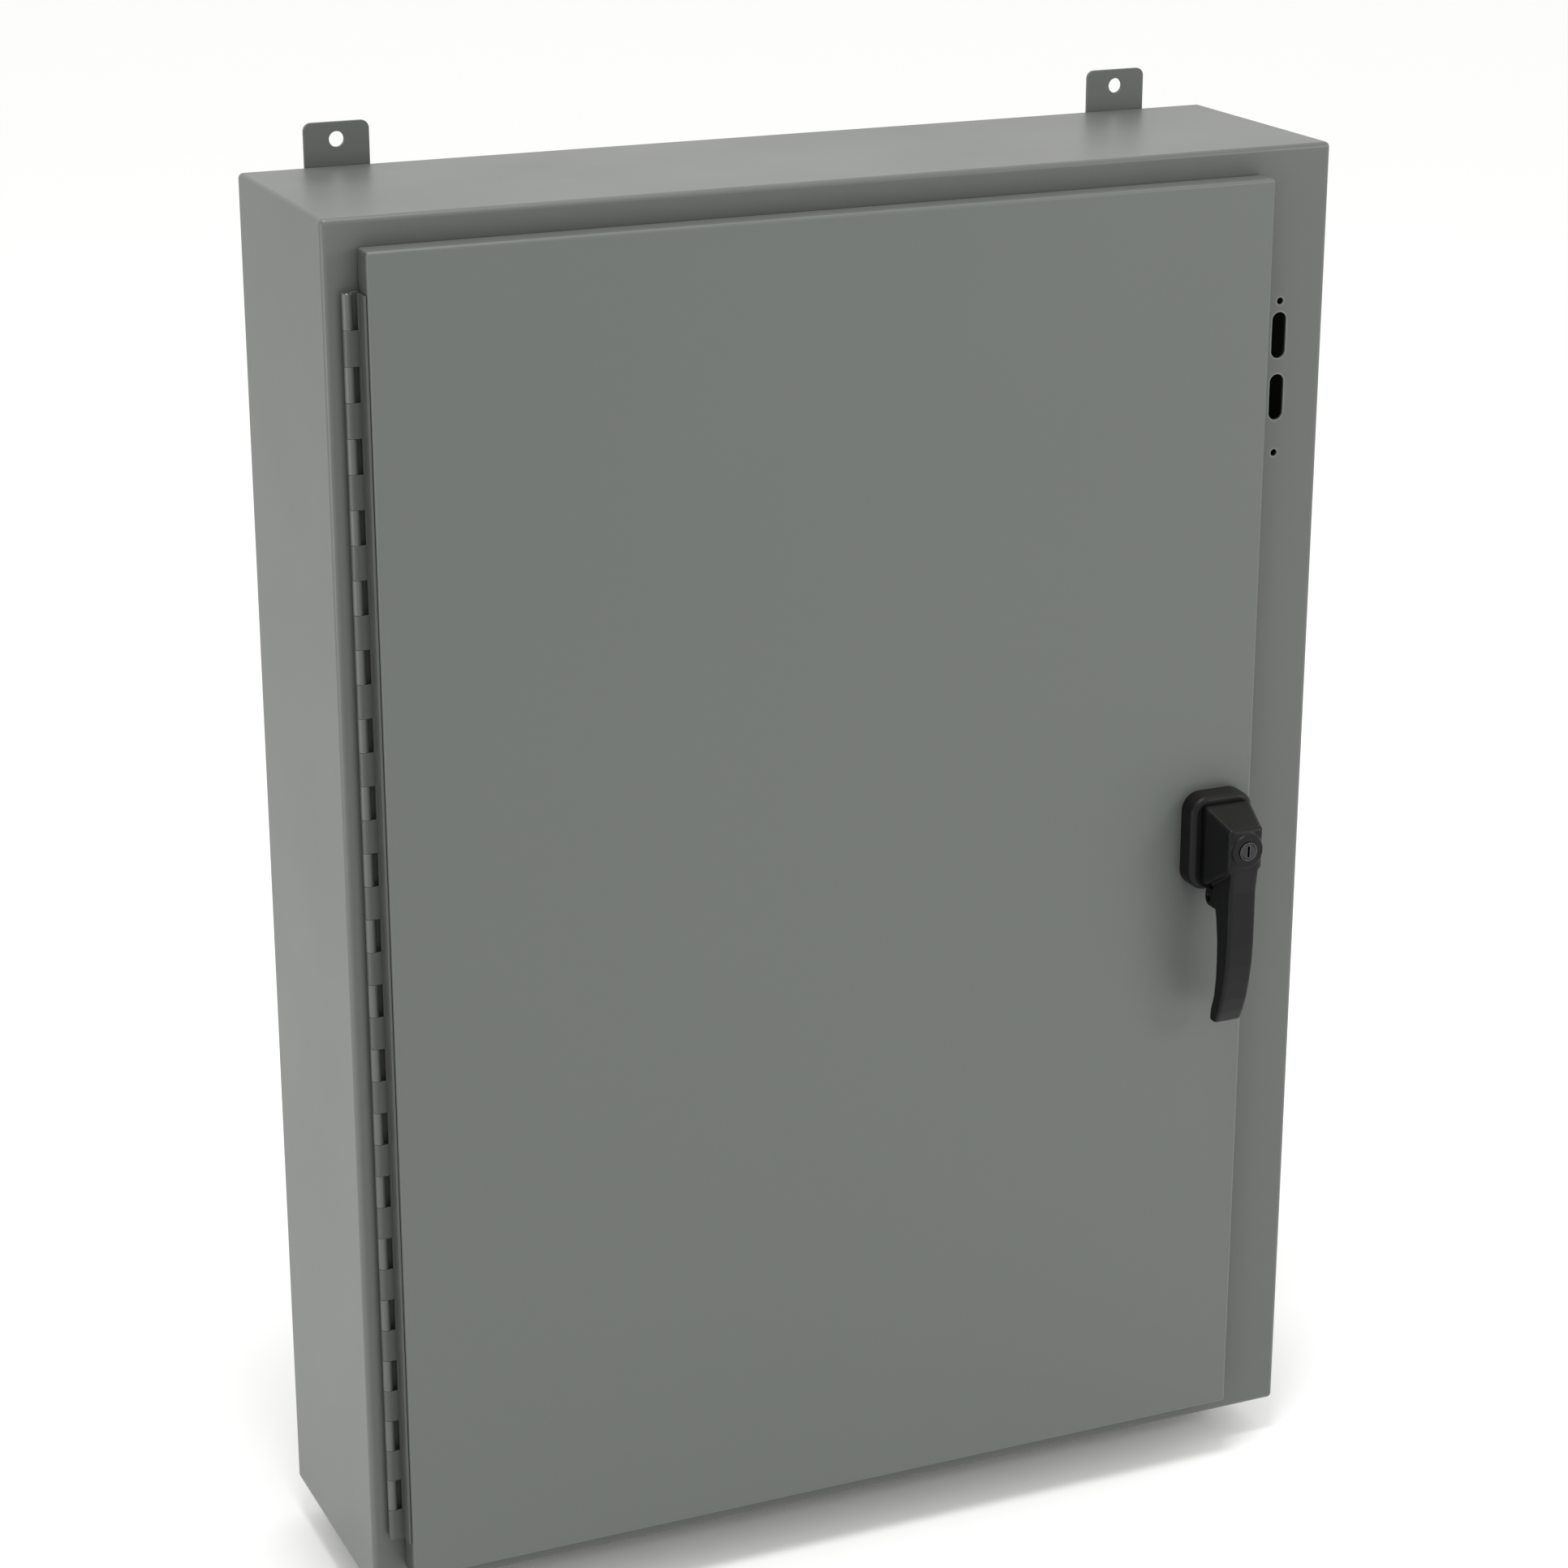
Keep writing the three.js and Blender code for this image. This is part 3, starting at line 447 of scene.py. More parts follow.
cabinet = block("cabinet_body_shell", (box_low.x, flange_y, box_low.z), box_high)
open_up(cabinet)
slice_at(0, collar_left, collar_right)
slice_at(2, -collar_top, collar_top)
pick("FACE", lambda f: near(f.calc_center_median().y, flange_y)
     and collar_left < f.calc_center_median().x < collar_right
     and abs(f.calc_center_median().z) < collar_top)
pull((0, -collar_reach, 0))
bpy.ops.mesh.delete(type="FACE")
collar_middle = flange_y - collar_reach / 2
pick("EDGE", lambda e: runs(e, 1) and near(middle(e).y, collar_middle))
bpy.ops.mesh.bevel(offset=collar_corner, segments=5)
pick("EDGE", lambda e: all(near(v.co.y, flange_y) for v in e.verts)
     and all(collar_left - MM < v.co.x < collar_right + MM for v in e.verts)
     and all(abs(v.co.z) < collar_top + MM for v in e.verts)
     and not (runs(e, 0) and abs(middle(e).z) < collar_top - MM)
     and len(e.link_faces) == 2
     and abs(e.link_faces[0].normal.dot(e.link_faces[1].normal)) < 0.1)
bpy.ops.mesh.bevel(offset=collar_root, segments=3)
pick("EDGE", lambda e: sum(
    near(abs(middle(e)[axis]), edge) for axis, edge in ((0, box_high.x), (2, box_high.z)))
    + (near(middle(e).y, flange_y) or near(middle(e).y, box_high.y)) == 2)
bpy.ops.mesh.bevel(offset=bend, segments=5)
shut()
modify(cabinet, "SOLIDIFY", thickness=SHEET, offset=-1, use_even_offset=True)

slot_x, slot_wide, slot_long, flange_hole = 359.525 * MM, 12.5 * MM, 36 * MM, 2.8 * MM
for slot_z in (387.8 * MM, 339.4 * MM):
    capsule = plug("slot_tool", slot_wide / 2, (slot_x, slot_z), flange_y - SHEET, flange_y + 2 * SHEET)
    open_up(capsule)
    for way in (1, -1):
        pick("VERT", lambda v: (v.co.z - slot_z) * way > 1e-5)
        bpy.ops.transform.translate(value=(0, 0, way * (slot_long - slot_wide) / 2))
    shut()
    cut_out(cabinet, capsule)
for hole_z in (414.4 * MM, 295.4 * MM):
    cut_out(cabinet, plug("hole_tool", flange_hole, (slot_x, hole_z), flange_y - SHEET,
                          flange_y + 2 * SHEET, 20))
fitted(cabinet, "cabinet", "grey_powder_coat", grey_coat, "cabinet_body")


# ------------------------ Wall lugs
# Four steel plates welded to the cabinet's back, one near each corner, each with a hole
# for a wall bolt and its two outer corners rounded.
lug_coat = finish("lug_powder_coat", (80, 83, 80), 0.45, cloudy=0.03, worn_and_lit=(112, 115, 112),
                  wear_and_highlight=0.5, reach=1.0, dust=0.08, grain=700, depth=0.03)
lug_corner, lug_hole, lug_hole_rise = 6 * MM, 5.75 * MM, 19 * MM
for level, way in (("upper", 1), ("lower", -1)):
    for side in ("left", "right"):
        node = f"wall_lug_{level}_{side}"
        low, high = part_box(node)
        tip = high.z if way > 0 else low.z
        lug = block(f"{node}_plate", low, high)
        rounded(lug, lug_corner, 6, lambda e: runs(e, 1) and near(middle(e).z, tip))
        hole = (low.x + high.x) / 2, way * (box_high.z + lug_hole_rise)
        cut_out(lug, plug("hole_tool", lug_hole, hole, low.y - MM, high.y + MM, 36))
        ease(lug, 0.35)
        fitted(lug, "cabinet", "grey_powder_coat", lug_coat, node)


# ------------------------ Hinge
# A continuous hinge: two steel leaves whose edges are curled into alternate knuckles round
# one pin. One leaf is welded to the flange, the other to the door's side. Painted over.
hinge_coat = finish("hinge_powder_coat", (78, 81, 78), 0.4, cloudy=0.03, worn_and_lit=(112, 115, 112),
                    wear_and_highlight=0.5, reach=0.8, dust=0.1, grain=700, depth=0.02, painted_shade=0.4, painted_shade_reach=24)
knuckle, leaf_thick, curl_outer = 25.4 * MM, 1.7 * MM, 3.8 * MM
knuckle_gap, pin_gap, leaf_bend = 0.3 * MM, 0.15 * MM, 1.5 * MM
cabinet_edge, door_edge, curl = 4.6 * MM, 6.4 * MM, radians(300)
pin_low, pin_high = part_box("hinge_pin")
hinge_x, hinge_y = (pin_low.x + pin_high.x) / 2, (pin_low.y + pin_high.y) / 2
hinge_top = pin_high.z
pitch_end = hinge_top - 2 * knuckle
pairs = round((pin_high.z - pin_low.z) / (2 * knuckle))


def post(name, radius, place, start, end, sides=32):
    """A round bar along Z at a place (x, y), from one height to another."""
    return bar(name, radius, (*place, start), (*place, end), sides)


def curled(leaf, edge_x, top, start_y, turn):
    """Draws a tab out of the open leaf's edge between two heights and curls it round the pin."""
    bottom = top - knuckle + knuckle_gap
    slice_at(2, top - knuckle_gap / 2, bottom - knuckle_gap / 2)
    pick("FACE", lambda f: near(f.calc_center_median().x, edge_x) and f.normal.x < -0.9
         and bottom - MM < f.calc_center_median().z < top
         and abs(f.calc_center_median().z - (top + bottom) / 2) < 2 * MM)
    pull((hinge_x - edge_x, start_y, 0))
    bpy.ops.mesh.spin(steps=14, angle=turn, center=(hinge_x, hinge_y, 0), axis=(0, 0, 1))


def repeated(leaf):
    """Repeats one pitch of a leaf down the hinge, and joins the pitches into one solid strip."""
    modify(leaf, "ARRAY", count=pairs, use_relative_offset=False, use_constant_offset=True,
           constant_offset_displace=(0, 0, -2 * knuckle), use_merge_vertices=True,
           merge_threshold=0.01 * MM)
    open_up(leaf)
    bpy.ops.mesh.select_interior_faces()
    bpy.ops.mesh.delete(type="ONLY_FACE")
    pick_all()
    bpy.ops.mesh.normals_make_consistent(inside=False)
    shut()
    ease(leaf, 0.2, 1)


low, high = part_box("hinge_leaf_cabinet")
edge_x = hinge_x + cabinet_edge
leaf = block("hinge_leaf_on_cabinet", (edge_x, high.y - leaf_thick, pitch_end),
             (high.x, high.y, hinge_top))
open_up(leaf)
curled(leaf, edge_x, hinge_top, hinge_y + curl_outer - high.y, -curl)
shut()
repeated(leaf)
fitted(leaf, "cabinet", "grey_powder_coat", hinge_coat, "hinge_leaf_cabinet")

low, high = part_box("hinge_leaf_door")
edge_x = hinge_x + door_edge
reach_back = hinge_y - curl_outer + leaf_thick
leaf = block("hinge_leaf_on_door", (edge_x, reach_back - leaf_thick, pitch_end),
             (high.x, reach_back, hinge_top))
open_up(leaf)
slice_at(0, high.x - leaf_thick)
pick("FACE", lambda f: f.normal.y < -0.9 and f.calc_center_median().x > high.x - leaf_thick)
pull((0, low.y - reach_back + leaf_thick, 0))
pick("EDGE", lambda e: runs(e, 2) and near(middle(e).x, high.x) and near(middle(e).y, reach_back))
bpy.ops.mesh.bevel(offset=leaf_bend, segments=4)
curled(leaf, edge_x, hinge_top - knuckle, 0, curl)
shut()
repeated(leaf)
fitted(leaf, "door", "grey_powder_coat", hinge_coat, "hinge_leaf_door")

zinc = finish("zinc_plate", (176, 178, 180), 0.34, metal=1.0, cloudy=0.12, worn_and_lit=(205, 205, 204),
              wear_and_highlight=0.3, dust=0.1, grain=400, cloud=30, depth=0.01)
pin = post("hinge_pin_rod", curl_outer - leaf_thick - pin_gap, (hinge_x, hinge_y),
           pin_low.z, pin_high.z, 20)
ease(pin, 0.6, 3)
fitted(pin, "cabinet", "zinc_steel", zinc, "hinge_pin")


# ------------------------ Door
# A steel sheet folded back on all four sides into a shallow pan, its corners welded and
# ground smooth, with one hole for the handle's spindle. Its hinge edge is painted darker as painted shade.
door_coat = finish("door_powder_coat", (86, 90, 87), 0.4, cloudy=0.015, worn_and_lit=(114, 118, 115),
                   wear_and_highlight=0.35, reach=1.5, dust=0.08, grain=700, depth=0.03, painted_shade=0.5, painted_shade_reach=30)
door_low, door_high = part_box("door_panel")
lock_low, lock_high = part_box("lock_cylinder")
handle_x = (lock_low.x + lock_high.x) / 2
door_bend, spindle_hole = 2.6 * MM, 9 * MM
door = block("door_pan", door_low, door_high)
open_up(door)
pick("FACE", lambda f: f.normal.y > 0.9)
bpy.ops.mesh.delete(type="FACE")
pick("EDGE", lambda e: near(middle(e).y, door_low.y) or runs(e, 1))
bpy.ops.mesh.bevel(offset=door_bend, segments=4)
shut()
modify(door, "SOLIDIFY", thickness=SHEET, offset=-1, use_even_offset=True)
cut_out(door, plug("hole_tool", spindle_hole, (handle_x, 0), door_low.y - MM, door_low.y + 2 * SHEET))
fitted(door, "door", "grey_powder_coat", door_coat, "door_panel")
# Painted shade: the door's hinge-side return and the hinge leaf on the door take this darker copy of the
# door's grey coat.
hinge_edge_painted_shade = finish("hinge_edge_painted_shade", (64, 67, 64), 0.45, cloudy=0.03, worn_and_lit=(92, 96, 92),
                         wear_and_highlight=0.3, reach=0.8, dust=0.05, grain=700, depth=0.02, painted_shade=0.6, painted_shade_reach=30)
door.data.materials.append(hinge_edge_painted_shade)
for face in door.data.polygons:
    if face.normal.x < -0.7 and face.center.x < door_low.x + MM:
        face.material_index = 1
bpy.data.objects["hinge_leaf_on_door"].data.materials[0] = hinge_edge_painted_shade


# ------------------------ Door handle
# A die-cast zinc turn handle in satin black: an oval-cornered base, a hub that tapers up to
# the lock, and a bowed grip that hangs down off the hub with a padlock eye behind it.
handle_black = finish("handle_black", (6, 6, 7), 0.42, cloudy=0.12, worn_and_lit=(28, 28, 29),
                      wear_and_highlight=0.35, reach=0.8, dust=0.04, grain=1500, cloud=40, depth=0.012,
                      shine=0.2, painted_shade_reach=8)
door_front = door_low.y
base_corner, base_edge, hub_edge, grip_edge, eye_corner = 15 * MM, 5 * MM, 3 * MM, 2.8 * MM, 6 * MM
base_low, base_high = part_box("handle_base")
base = block("handle_base_plate", base_low, base_high)
rounded(base, base_corner, 10, lambda e: runs(e, 1))
rounded(base, base_edge, 5, lambda e: near(middle(e).y, base_low.y))
cut_out(base, plug("bore_tool", 6.4 * MM, (handle_x, 0), base_low.y - MM, base_high.y + MM))
fitted(base, "door", "handle_black", handle_black, "handle_base")

hub_back, hub_front = base_low.y - 0.3 * MM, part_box("handle_lever")[0].y
hub_half, hub_tall, hub_drop, hub_step = 20 * MM, 32 * MM, 4 * MM, hub_back - 5 * MM
hub_front_half, hub_front_tall = 14.5 * MM, 17 * MM
hub = block("handle_turn_lever", (handle_x - hub_half, hub_step, -hub_drop - hub_tall),
            (handle_x + hub_half, hub_back, -hub_drop + hub_tall))
open_up(hub)
pick("FACE", lambda f: f.normal.y < -0.9)
pull((0, hub_front + 2 * MM - hub_step, hub_drop))
bpy.ops.transform.resize(value=(hub_front_half / hub_half, 1, hub_front_tall / hub_tall),
                         center_override=(handle_x, 0, 0))
pick("EDGE", lambda e: not near(middle(e).y, hub_back) and not near(middle(e).y, hub_step))
bpy.ops.mesh.bevel(offset=hub_edge, segments=3)
shut()
boss = plug("handle_boss", 13.5 * MM, (handle_x, 0), hub_front + 9 * MM, hub_front, 48)
grip_half = 12.25 * MM
grip_stations = [  # height, and how far the front and the back stand off the door
    (0, 54, 20.5), (-18, 53, 20.5), (-36, 50.5, 20.5), (-48, 50.5, 25), (-62, 50.6, 29), (-80, 50.6, 31.8),
    (-98, 49.5, 32.5), (-113, 47, 32.2), (-128, 43.7, 30.3), (-140, 39.5, 26.5), (-150.6, 34.6, 25.4)]
top, front, back = grip_stations[0]
grip = block("handle_grip", (handle_x - grip_half, door_front - front * MM, (top - 1) * MM),
             (handle_x + grip_half, door_front - back * MM, top * MM))
open_up(grip)
for height, front, back in grip_stations[1:]:
    pick("FACE", lambda f: f.normal.z < -0.5)
    ends = [v.co.copy() for v in bmesh.from_edit_mesh(grip.data).verts if v.select]
    centre = sum(ends, Vector()) / len(ends)
    deep = max(c.y for c in ends) - min(c.y for c in ends)
    goal = Vector((handle_x, door_front - (front + back) / 2 * MM, height * MM))
    pull(goal - centre)
    bpy.ops.transform.resize(value=(1, (front - back) * MM / deep, 1), center_override=goal)
grip_end = grip_stations[-1][0] * MM
pick("EDGE", lambda e: not runs(e, 0) and not near(e.verts[0].co.z, e.verts[1].co.z)
     or near(middle(e).z, grip_end))
bpy.ops.mesh.bevel(offset=grip_edge, segments=4)
shut()
eye_out, eye_z = door_front - 14 * MM, -51 * MM
eye = block("handle_eye", (handle_x - 10 * MM, door_front - 31 * MM, -57.5 * MM),
            (handle_x - 6 * MM, door_front - 8.5 * MM, -42 * MM))
rounded(eye, eye_corner, 5, lambda e: runs(e, 0) and middle(e).y > door_front - 12 * MM)
chosen(hub, boss, grip, eye)
bpy.ops.object.join()
modify(hub, "REMESH", mode="VOXEL", voxel_size=0.8 * MM)
modify(hub, "SMOOTH", factor=0.5, iterations=4)
cut_out(hub, bar("bore_tool", 3.45 * MM, (handle_x - 12 * MM, eye_out, eye_z),
                 (handle_x - 4 * MM, eye_out, eye_z)),
        plug("bore_tool", 6.3 * MM, (handle_x, 0), door_front - 32 * MM, hub_back + MM),
        plug("bore_tool", 7.9 * MM, (handle_x, 0), hub_front - MM, hub_front + 13 * MM, 48))
fitted(hub, "handle", "handle_black", handle_black, "handle_lever")


def slab(name, place, half_wide, half_tall, front, back):
    """A block centred on a place (x, z), between two depths."""
    x, z = place
    return block(name, (x - half_wide, front, z - half_tall), (x + half_wide, back, z + half_tall))


lock_metal = finish("lock_metal", (58, 57, 60), 0.3, metal=1.0, cloudy=0.1,
                    worn_and_lit=(170, 170, 168), wear_and_highlight=0.3, dust=0.0, grain=600, cloud=60, depth=0.008)
lock = plug("lock_barrel", lock_high.x - handle_x, (handle_x, 0), lock_high.y, lock_low.y, 48)
open_up(lock)
pick("FACE", lambda f: f.normal.y < -0.9)
bpy.ops.mesh.inset(thickness=1.0 * MM)
for sink in (0.7 * MM, -0.6 * MM):
    bpy.ops.mesh.inset(thickness=0.4 * MM)
    bpy.ops.transform.translate(value=(0, sink, 0))
shut()
key_half, key_deep = 4.5 * MM, 6 * MM
cut_out(lock, slab("key_tool", (handle_x, 0), MM, key_half, lock_low.y - MM, lock_low.y + key_deep))
ease(lock, 0.2)
fitted(lock, "lock_plug", "lock_metal", lock_metal, "lock_cylinder")


# ------------------------ Door seal
# A closed-cell foam strip glued round the inside of the door. The collar round the doorway
# presses into it, so its corners are soft.
def taken_from(node, name):
    """A copy of a CAD node's shape, its loose triangles merged into whole faces."""
    piece = frame["nodes"][node].copy()
    piece.data = piece.data.copy()
    piece.parent = None
    del piece["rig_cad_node"], piece["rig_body"]
    scene.collection.objects.link(piece)
    piece.name = piece.data.name = name
    open_up(piece)
    pick_all()
    bpy.ops.mesh.remove_doubles(threshold=0.01 * MM)
    bpy.ops.mesh.dissolve_limited(angle_limit=radians(0.5))
    shut()
    return piece


slot_of = {part["node"]: part["material_slot"] for part in frame["record"]["subparts"]}


def eased(node, material, width=0.5, segments=2, tools=()):
    """Stands for a CAD node: its own shape with every sharp edge rounded."""
    piece = taken_from(node, f"{node}_shape")
    cut_out(piece, *tools)
    ease(piece, width, segments)
    return fitted(piece, frame["nodes"][node]["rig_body"], slot_of[node], material, node)


foam = finish("foam_gasket", (40, 40, 41), 0.9, cloudy=0.2, dust=0.05, grain=1200, cloud=60,
              depth=0.15, shine=0.2)
eased("door_gasket", foam, 1.8, 3)


# ------------------------ Print pocket
# A grey plastic pocket for the wiring drawings, bonded inside the door, with a scoop in its
# front so that a thumb can reach the papers.
pocket_grey = finish("pocket_grey", (150, 152, 151), 0.5, cloudy=0.03, dust=0.15, grain=800,
                     depth=0.03)
low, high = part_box("print_pocket")
scoop_radius, scoop_rise = 38 * MM, 8 * MM
scoop = plug("scoop_tool", scoop_radius, ((low.x + high.x) / 2, high.z + scoop_rise),
             high.y - 4 * MM, high.y + 2 * MM, 64)
eased("print_pocket", pocket_grey, 0.9, 2, [scoop])


# ------------------------ Rod latch
# A zinc-plated spindle and cam turn a pinion in a die-cast gearbox. It draws two flat steel
# rods, whose nylon rollers ride behind the flange. Two nylon guides hold the rods.
cast_zinc = finish("cast_zinc", (150, 152, 155), 0.48, metal=1.0, cloudy=0.1,
                   worn_and_lit=(190, 190, 190), wear_and_highlight=0.4, dust=0.1, grain=500, cloud=40, depth=0.04)
nylon = finish("nylon_black", (38, 38, 39), 0.45, cloudy=0.1, dust=0.1, grain=900, cloud=30,
               depth=0.02)
eased("handle_spindle", zinc, 0.35)
eased("latch_gearbox", cast_zinc, 0.6)
for level in ("upper", "lower"):
    eased(f"latch_rod_{level}", zinc, 0.4)
    eased(f"rod_roller_{level}", nylon, 0.9, 3)
    eased(f"rod_guide_{level}", nylon, 0.7)


# ------------------------ Equipment panel
# A steel back panel in white enamel with folded sides. It stands on four threaded studs
# welded to the cabinet's back, each with a washer and a hexagon nut.
white_enamel = finish("white_enamel", (222, 223, 219), 0.3, cloudy=0.015,
                      worn_and_lit=(160, 160, 158), wear_and_highlight=0.2, dust=0.05, grain=600, depth=0.02, coat=0.2)
eased("equipment_panel", white_enamel, 0.6)


def centre_of(low, high):
    return (low.x + high.x) / 2, (low.z + high.z) / 2


def pinched(piece, axis, cuts, drawn_in, share, centre):
    """Cuts a piece across an axis at each place, and scales the cuts at drawn_in towards a
    centre, by the share on each axis."""
    open_up(piece)
    slice_at(axis, *cuts)
    pick("VERT", lambda v: any(near(v.co[axis], place) for place in drawn_in))
    bpy.ops.transform.resize(value=share, center_override=centre)
    shut()


def threaded(name, radius, place, start, end, pitch):
    """A threaded bar between two depths: its rings alternate between crest and root. The
    roots' one share on all three axes also draws them along the bar, towards its middle."""
    piece = plug(name, radius, place, start, end, 24)
    rings = [min(start, end) + (k + 1) * pitch / 2 for k in range(int(abs(end - start) / pitch * 2) - 1)]
    root = 1 - 0.6 * pitch / radius
    pinched(piece, 1, rings, rings[::2], (root,) * 3, (place[0], (start + end) / 2, place[1]))
    return piece


def hexagon(name, place, across, front, back):
    """A hexagon nut or bolt head on an axis along Y, its front corners chamfered."""
    return ease(plug(name, across * 0.577, place, back, front, 6), 0.5, 2)


def washer(name, place, radius, hole, front, back):
    piece = plug(name, radius, place, back, front)
    return ease(cut_out(piece, plug("washer_tool", hole, place, back + MM, front - MM, 24)), 0.15, 1)


def gathered(name, body, slot, material, pieces, *nodes):
    """Several made pieces as one, fitted together."""
    chosen(*pieces)
    if len(pieces) > 1:
        bpy.ops.object.join()
    pieces[0].name = pieces[0].data.name = name
    return fitted(pieces[0], body, slot, material, *nodes)


def hardware(name, material, pieces, *nodes):
    """Small plated or turned parts that stay on the cabinet, as one piece."""
    return gathered(name, "cabinet", "zinc_steel", material, pieces, *nodes)


panel_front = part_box("equipment_panel")[0].y
for number in range(1, 5):
    low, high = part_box(f"panel_stud_{number}")
    place = centre_of(low, high)
    hardware(f"panel_stud_{number}_nutted", zinc, [
        washer("stud_shoulder", place, 9 * MM, 2 * MM, panel_front + 2.8 * MM, high.y),
        threaded("stud", 5 * MM, place, high.y, low.y, 1.5 * MM),
        hexagon("nut", place, 14.7 * MM, panel_front - 7.8 * MM, panel_front - 1.6 * MM),
        washer("ring", place, 8.5 * MM, 4 * MM, panel_front - 1.5 * MM, panel_front - 0.3 * MM),
    ], f"panel_stud_{number}")


# ------------------------ Wire bars
# The ground bar is copper and bolted down to the panel. The neutral bar is tin-plated
# aluminium on two moulded insulators. Both are cross-drilled, with a clamp screw per hole.
copper = finish("copper_bar", (186, 118, 84), 0.28, metal=1.0, cloudy=0.15,
                worn_and_lit=(222, 160, 126), wear_and_highlight=0.4, dust=0.05, grain=300, cloud=25, depth=0.01)
tinned = finish("aluminium_bar", (186, 188, 190), 0.36, metal=1.0, cloudy=0.08,
                worn_and_lit=(214, 214, 212), wear_and_highlight=0.3, dust=0.08, grain=400, cloud=30, depth=0.015)
phenolic = finish("moulded_phenolic", (74, 42, 32), 0.4, cloudy=0.12, worn_and_lit=(104, 70, 56),
                  wear_and_highlight=0.25, dust=0.12, grain=700, cloud=20, depth=0.02)
brass = finish("brass_screw", (190, 158, 92), 0.3, metal=1.0, cloudy=0.1,
               worn_and_lit=(220, 196, 140), wear_and_highlight=0.4, dust=0.05, grain=500, cloud=60, depth=0.008)


def slotted(place, radius, front, back, angle):
    """A cheese-head screw on an axis along Y, with a driver slot turned by an angle."""
    piece = plug("screw", radius, place, back, front, 24)
    slot = slab("slot_tool", place, radius * 1.2, radius * 0.14, front - MM, front + (back - front) * 0.55)
    open_up(slot)
    pick_all()
    bpy.ops.transform.rotate(value=angle, orient_axis="Y", center_override=(place[0], front, place[1]))
    shut()
    return ease(cut_out(piece, slot), 0.3, 2)


foot_inset, wire_inset, wire_hole, wire_back = 16 * MM, 35 * MM, 3.4 * MM, 5 * MM
for node, screws, bar_slot, bar_finish, screw_finish in (
        ("ground_bar", 7, "copper_bar", copper, zinc),
        ("neutral_bar", 12, "aluminium_bar", tinned, brass)):
    low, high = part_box(node)
    z = centre_of(low, high)[1]
    bar_front, bar_back = low.y + 3 * MM, low.y + 15 * MM
    span = high.x - low.x - 2 * wire_inset
    wires = [low.x + wire_inset + span * k / (screws - 1) for k in range(screws)]
    footings = low.x + foot_inset, high.x - foot_inset
    rail = block("rail", (low.x, bar_front, low.z), (high.x, bar_back, high.z))
    ease(rail, 0.8, 2)
    cut_out(rail, *[post("wire_tool", wire_hole, (at, bar_back - wire_back), low.z - MM, high.z + MM, 20)
                    for at in wires])
    feet = []
    for at in footings:
        foot = slab("foot", (at, z), 10 * MM, 9 * MM, bar_back, high.y)
        if node == "neutral_bar":
            waist = [bar_back + deep * MM for deep in (8, 13, 21, 26)]
            pinched(foot, 1, waist, waist[1:3], (0.74, 1, 0.74), (at, 0, z))
        feet.append(ease(foot, 0.9, 3))
    if node == "ground_bar":
        gathered(f"{node}_rail", "cabinet", bar_slot, bar_finish, [rail] + feet, node)
    else:
        gathered(f"{node}_rail", "cabinet", bar_slot, bar_finish, [rail], node)
        gathered("neutral_bar_insulators", "cabinet", "moulded_phenolic", phenolic, feet)
    hardware(f"{node}_screws", screw_finish, [
        slotted((at, z), 4.5 * MM, low.y, bar_front, 0.6 + 0.9 * k) for k, at in enumerate(wires)])
    hardware(f"{node}_bolts", zinc, [
        hexagon("bolt", (at, z), 8 * MM, low.y - 1.5 * MM, bar_front) for at in footings])


# ------------------------ Transfer frame and poles
# A zinc-plated steel frame screwed to the panel holds three moulded thermoset poles. Each
# has a clamp terminal for the normal source, the generator and the load on a plated bar.
low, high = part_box("transfer_frame")
frame_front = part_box("pole_housing_1")[1].y - 0.3 * MM
pole_slab = frame_front - 19.7 * MM
frame_inset, frame_rise, pole_screw_side = 12 * MM, 14 * MM, 32 * MM
eased("transfer_frame", zinc, 0.5)
hardware("transfer_frame_screws", zinc, [
    hexagon("screw", (x, z), 10 * MM, frame_front - 4.3 * MM, frame_front)
    for x in (low.x + frame_inset, high.x - frame_inset)
    for z in (low.z + frame_rise, high.z - frame_rise)])
socket_steel = finish("socket_screw_steel", (92, 93, 96), 0.4, metal=1.0, cloudy=0.1, wear_and_highlight=0.3,
                      worn_and_lit=(150, 150, 150), dust=0.05, grain=500, cloud=50, depth=0.01)
for number in range(1, 4):
    low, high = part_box(f"pole_housing_{number}")
    x = centre_of(low, high)[0]
    eased(f"pole_housing_{number}", phenolic, 0.9)
    hardware(f"pole_{number}_screws", zinc, [
        slotted((x + side * pole_screw_side, z), 4 * MM, pole_slab - 2.4 * MM, pole_slab,
                0.4 + number + side)
        for side in (1, -1) for z in (high.z - 9 * MM, low.z + 5 * MM)])
    collars = []
    for kind, end, inward in (("normal", 1, -21 * MM), ("emergency", 0, 21 * MM), ("load", 0, 19 * MM)):
        node = f"{kind}_lug_{number}"
        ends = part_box(node)
        front, place = ends[0].y, (x, ends[end].z + inward)
        socket = plug("socket_tool", 3.6 * MM, place, front - MM, front + 4.5 * MM, 6)
        eased(node, tinned, 0.7, 2, [socket])
        collars.append(washer("collar", place, 8.2 * MM, 7.1 * MM, front + 5 * MM, front + 5.9 * MM))
    hardware(f"pole_{number}_clamp_rings", socket_steel, collars)


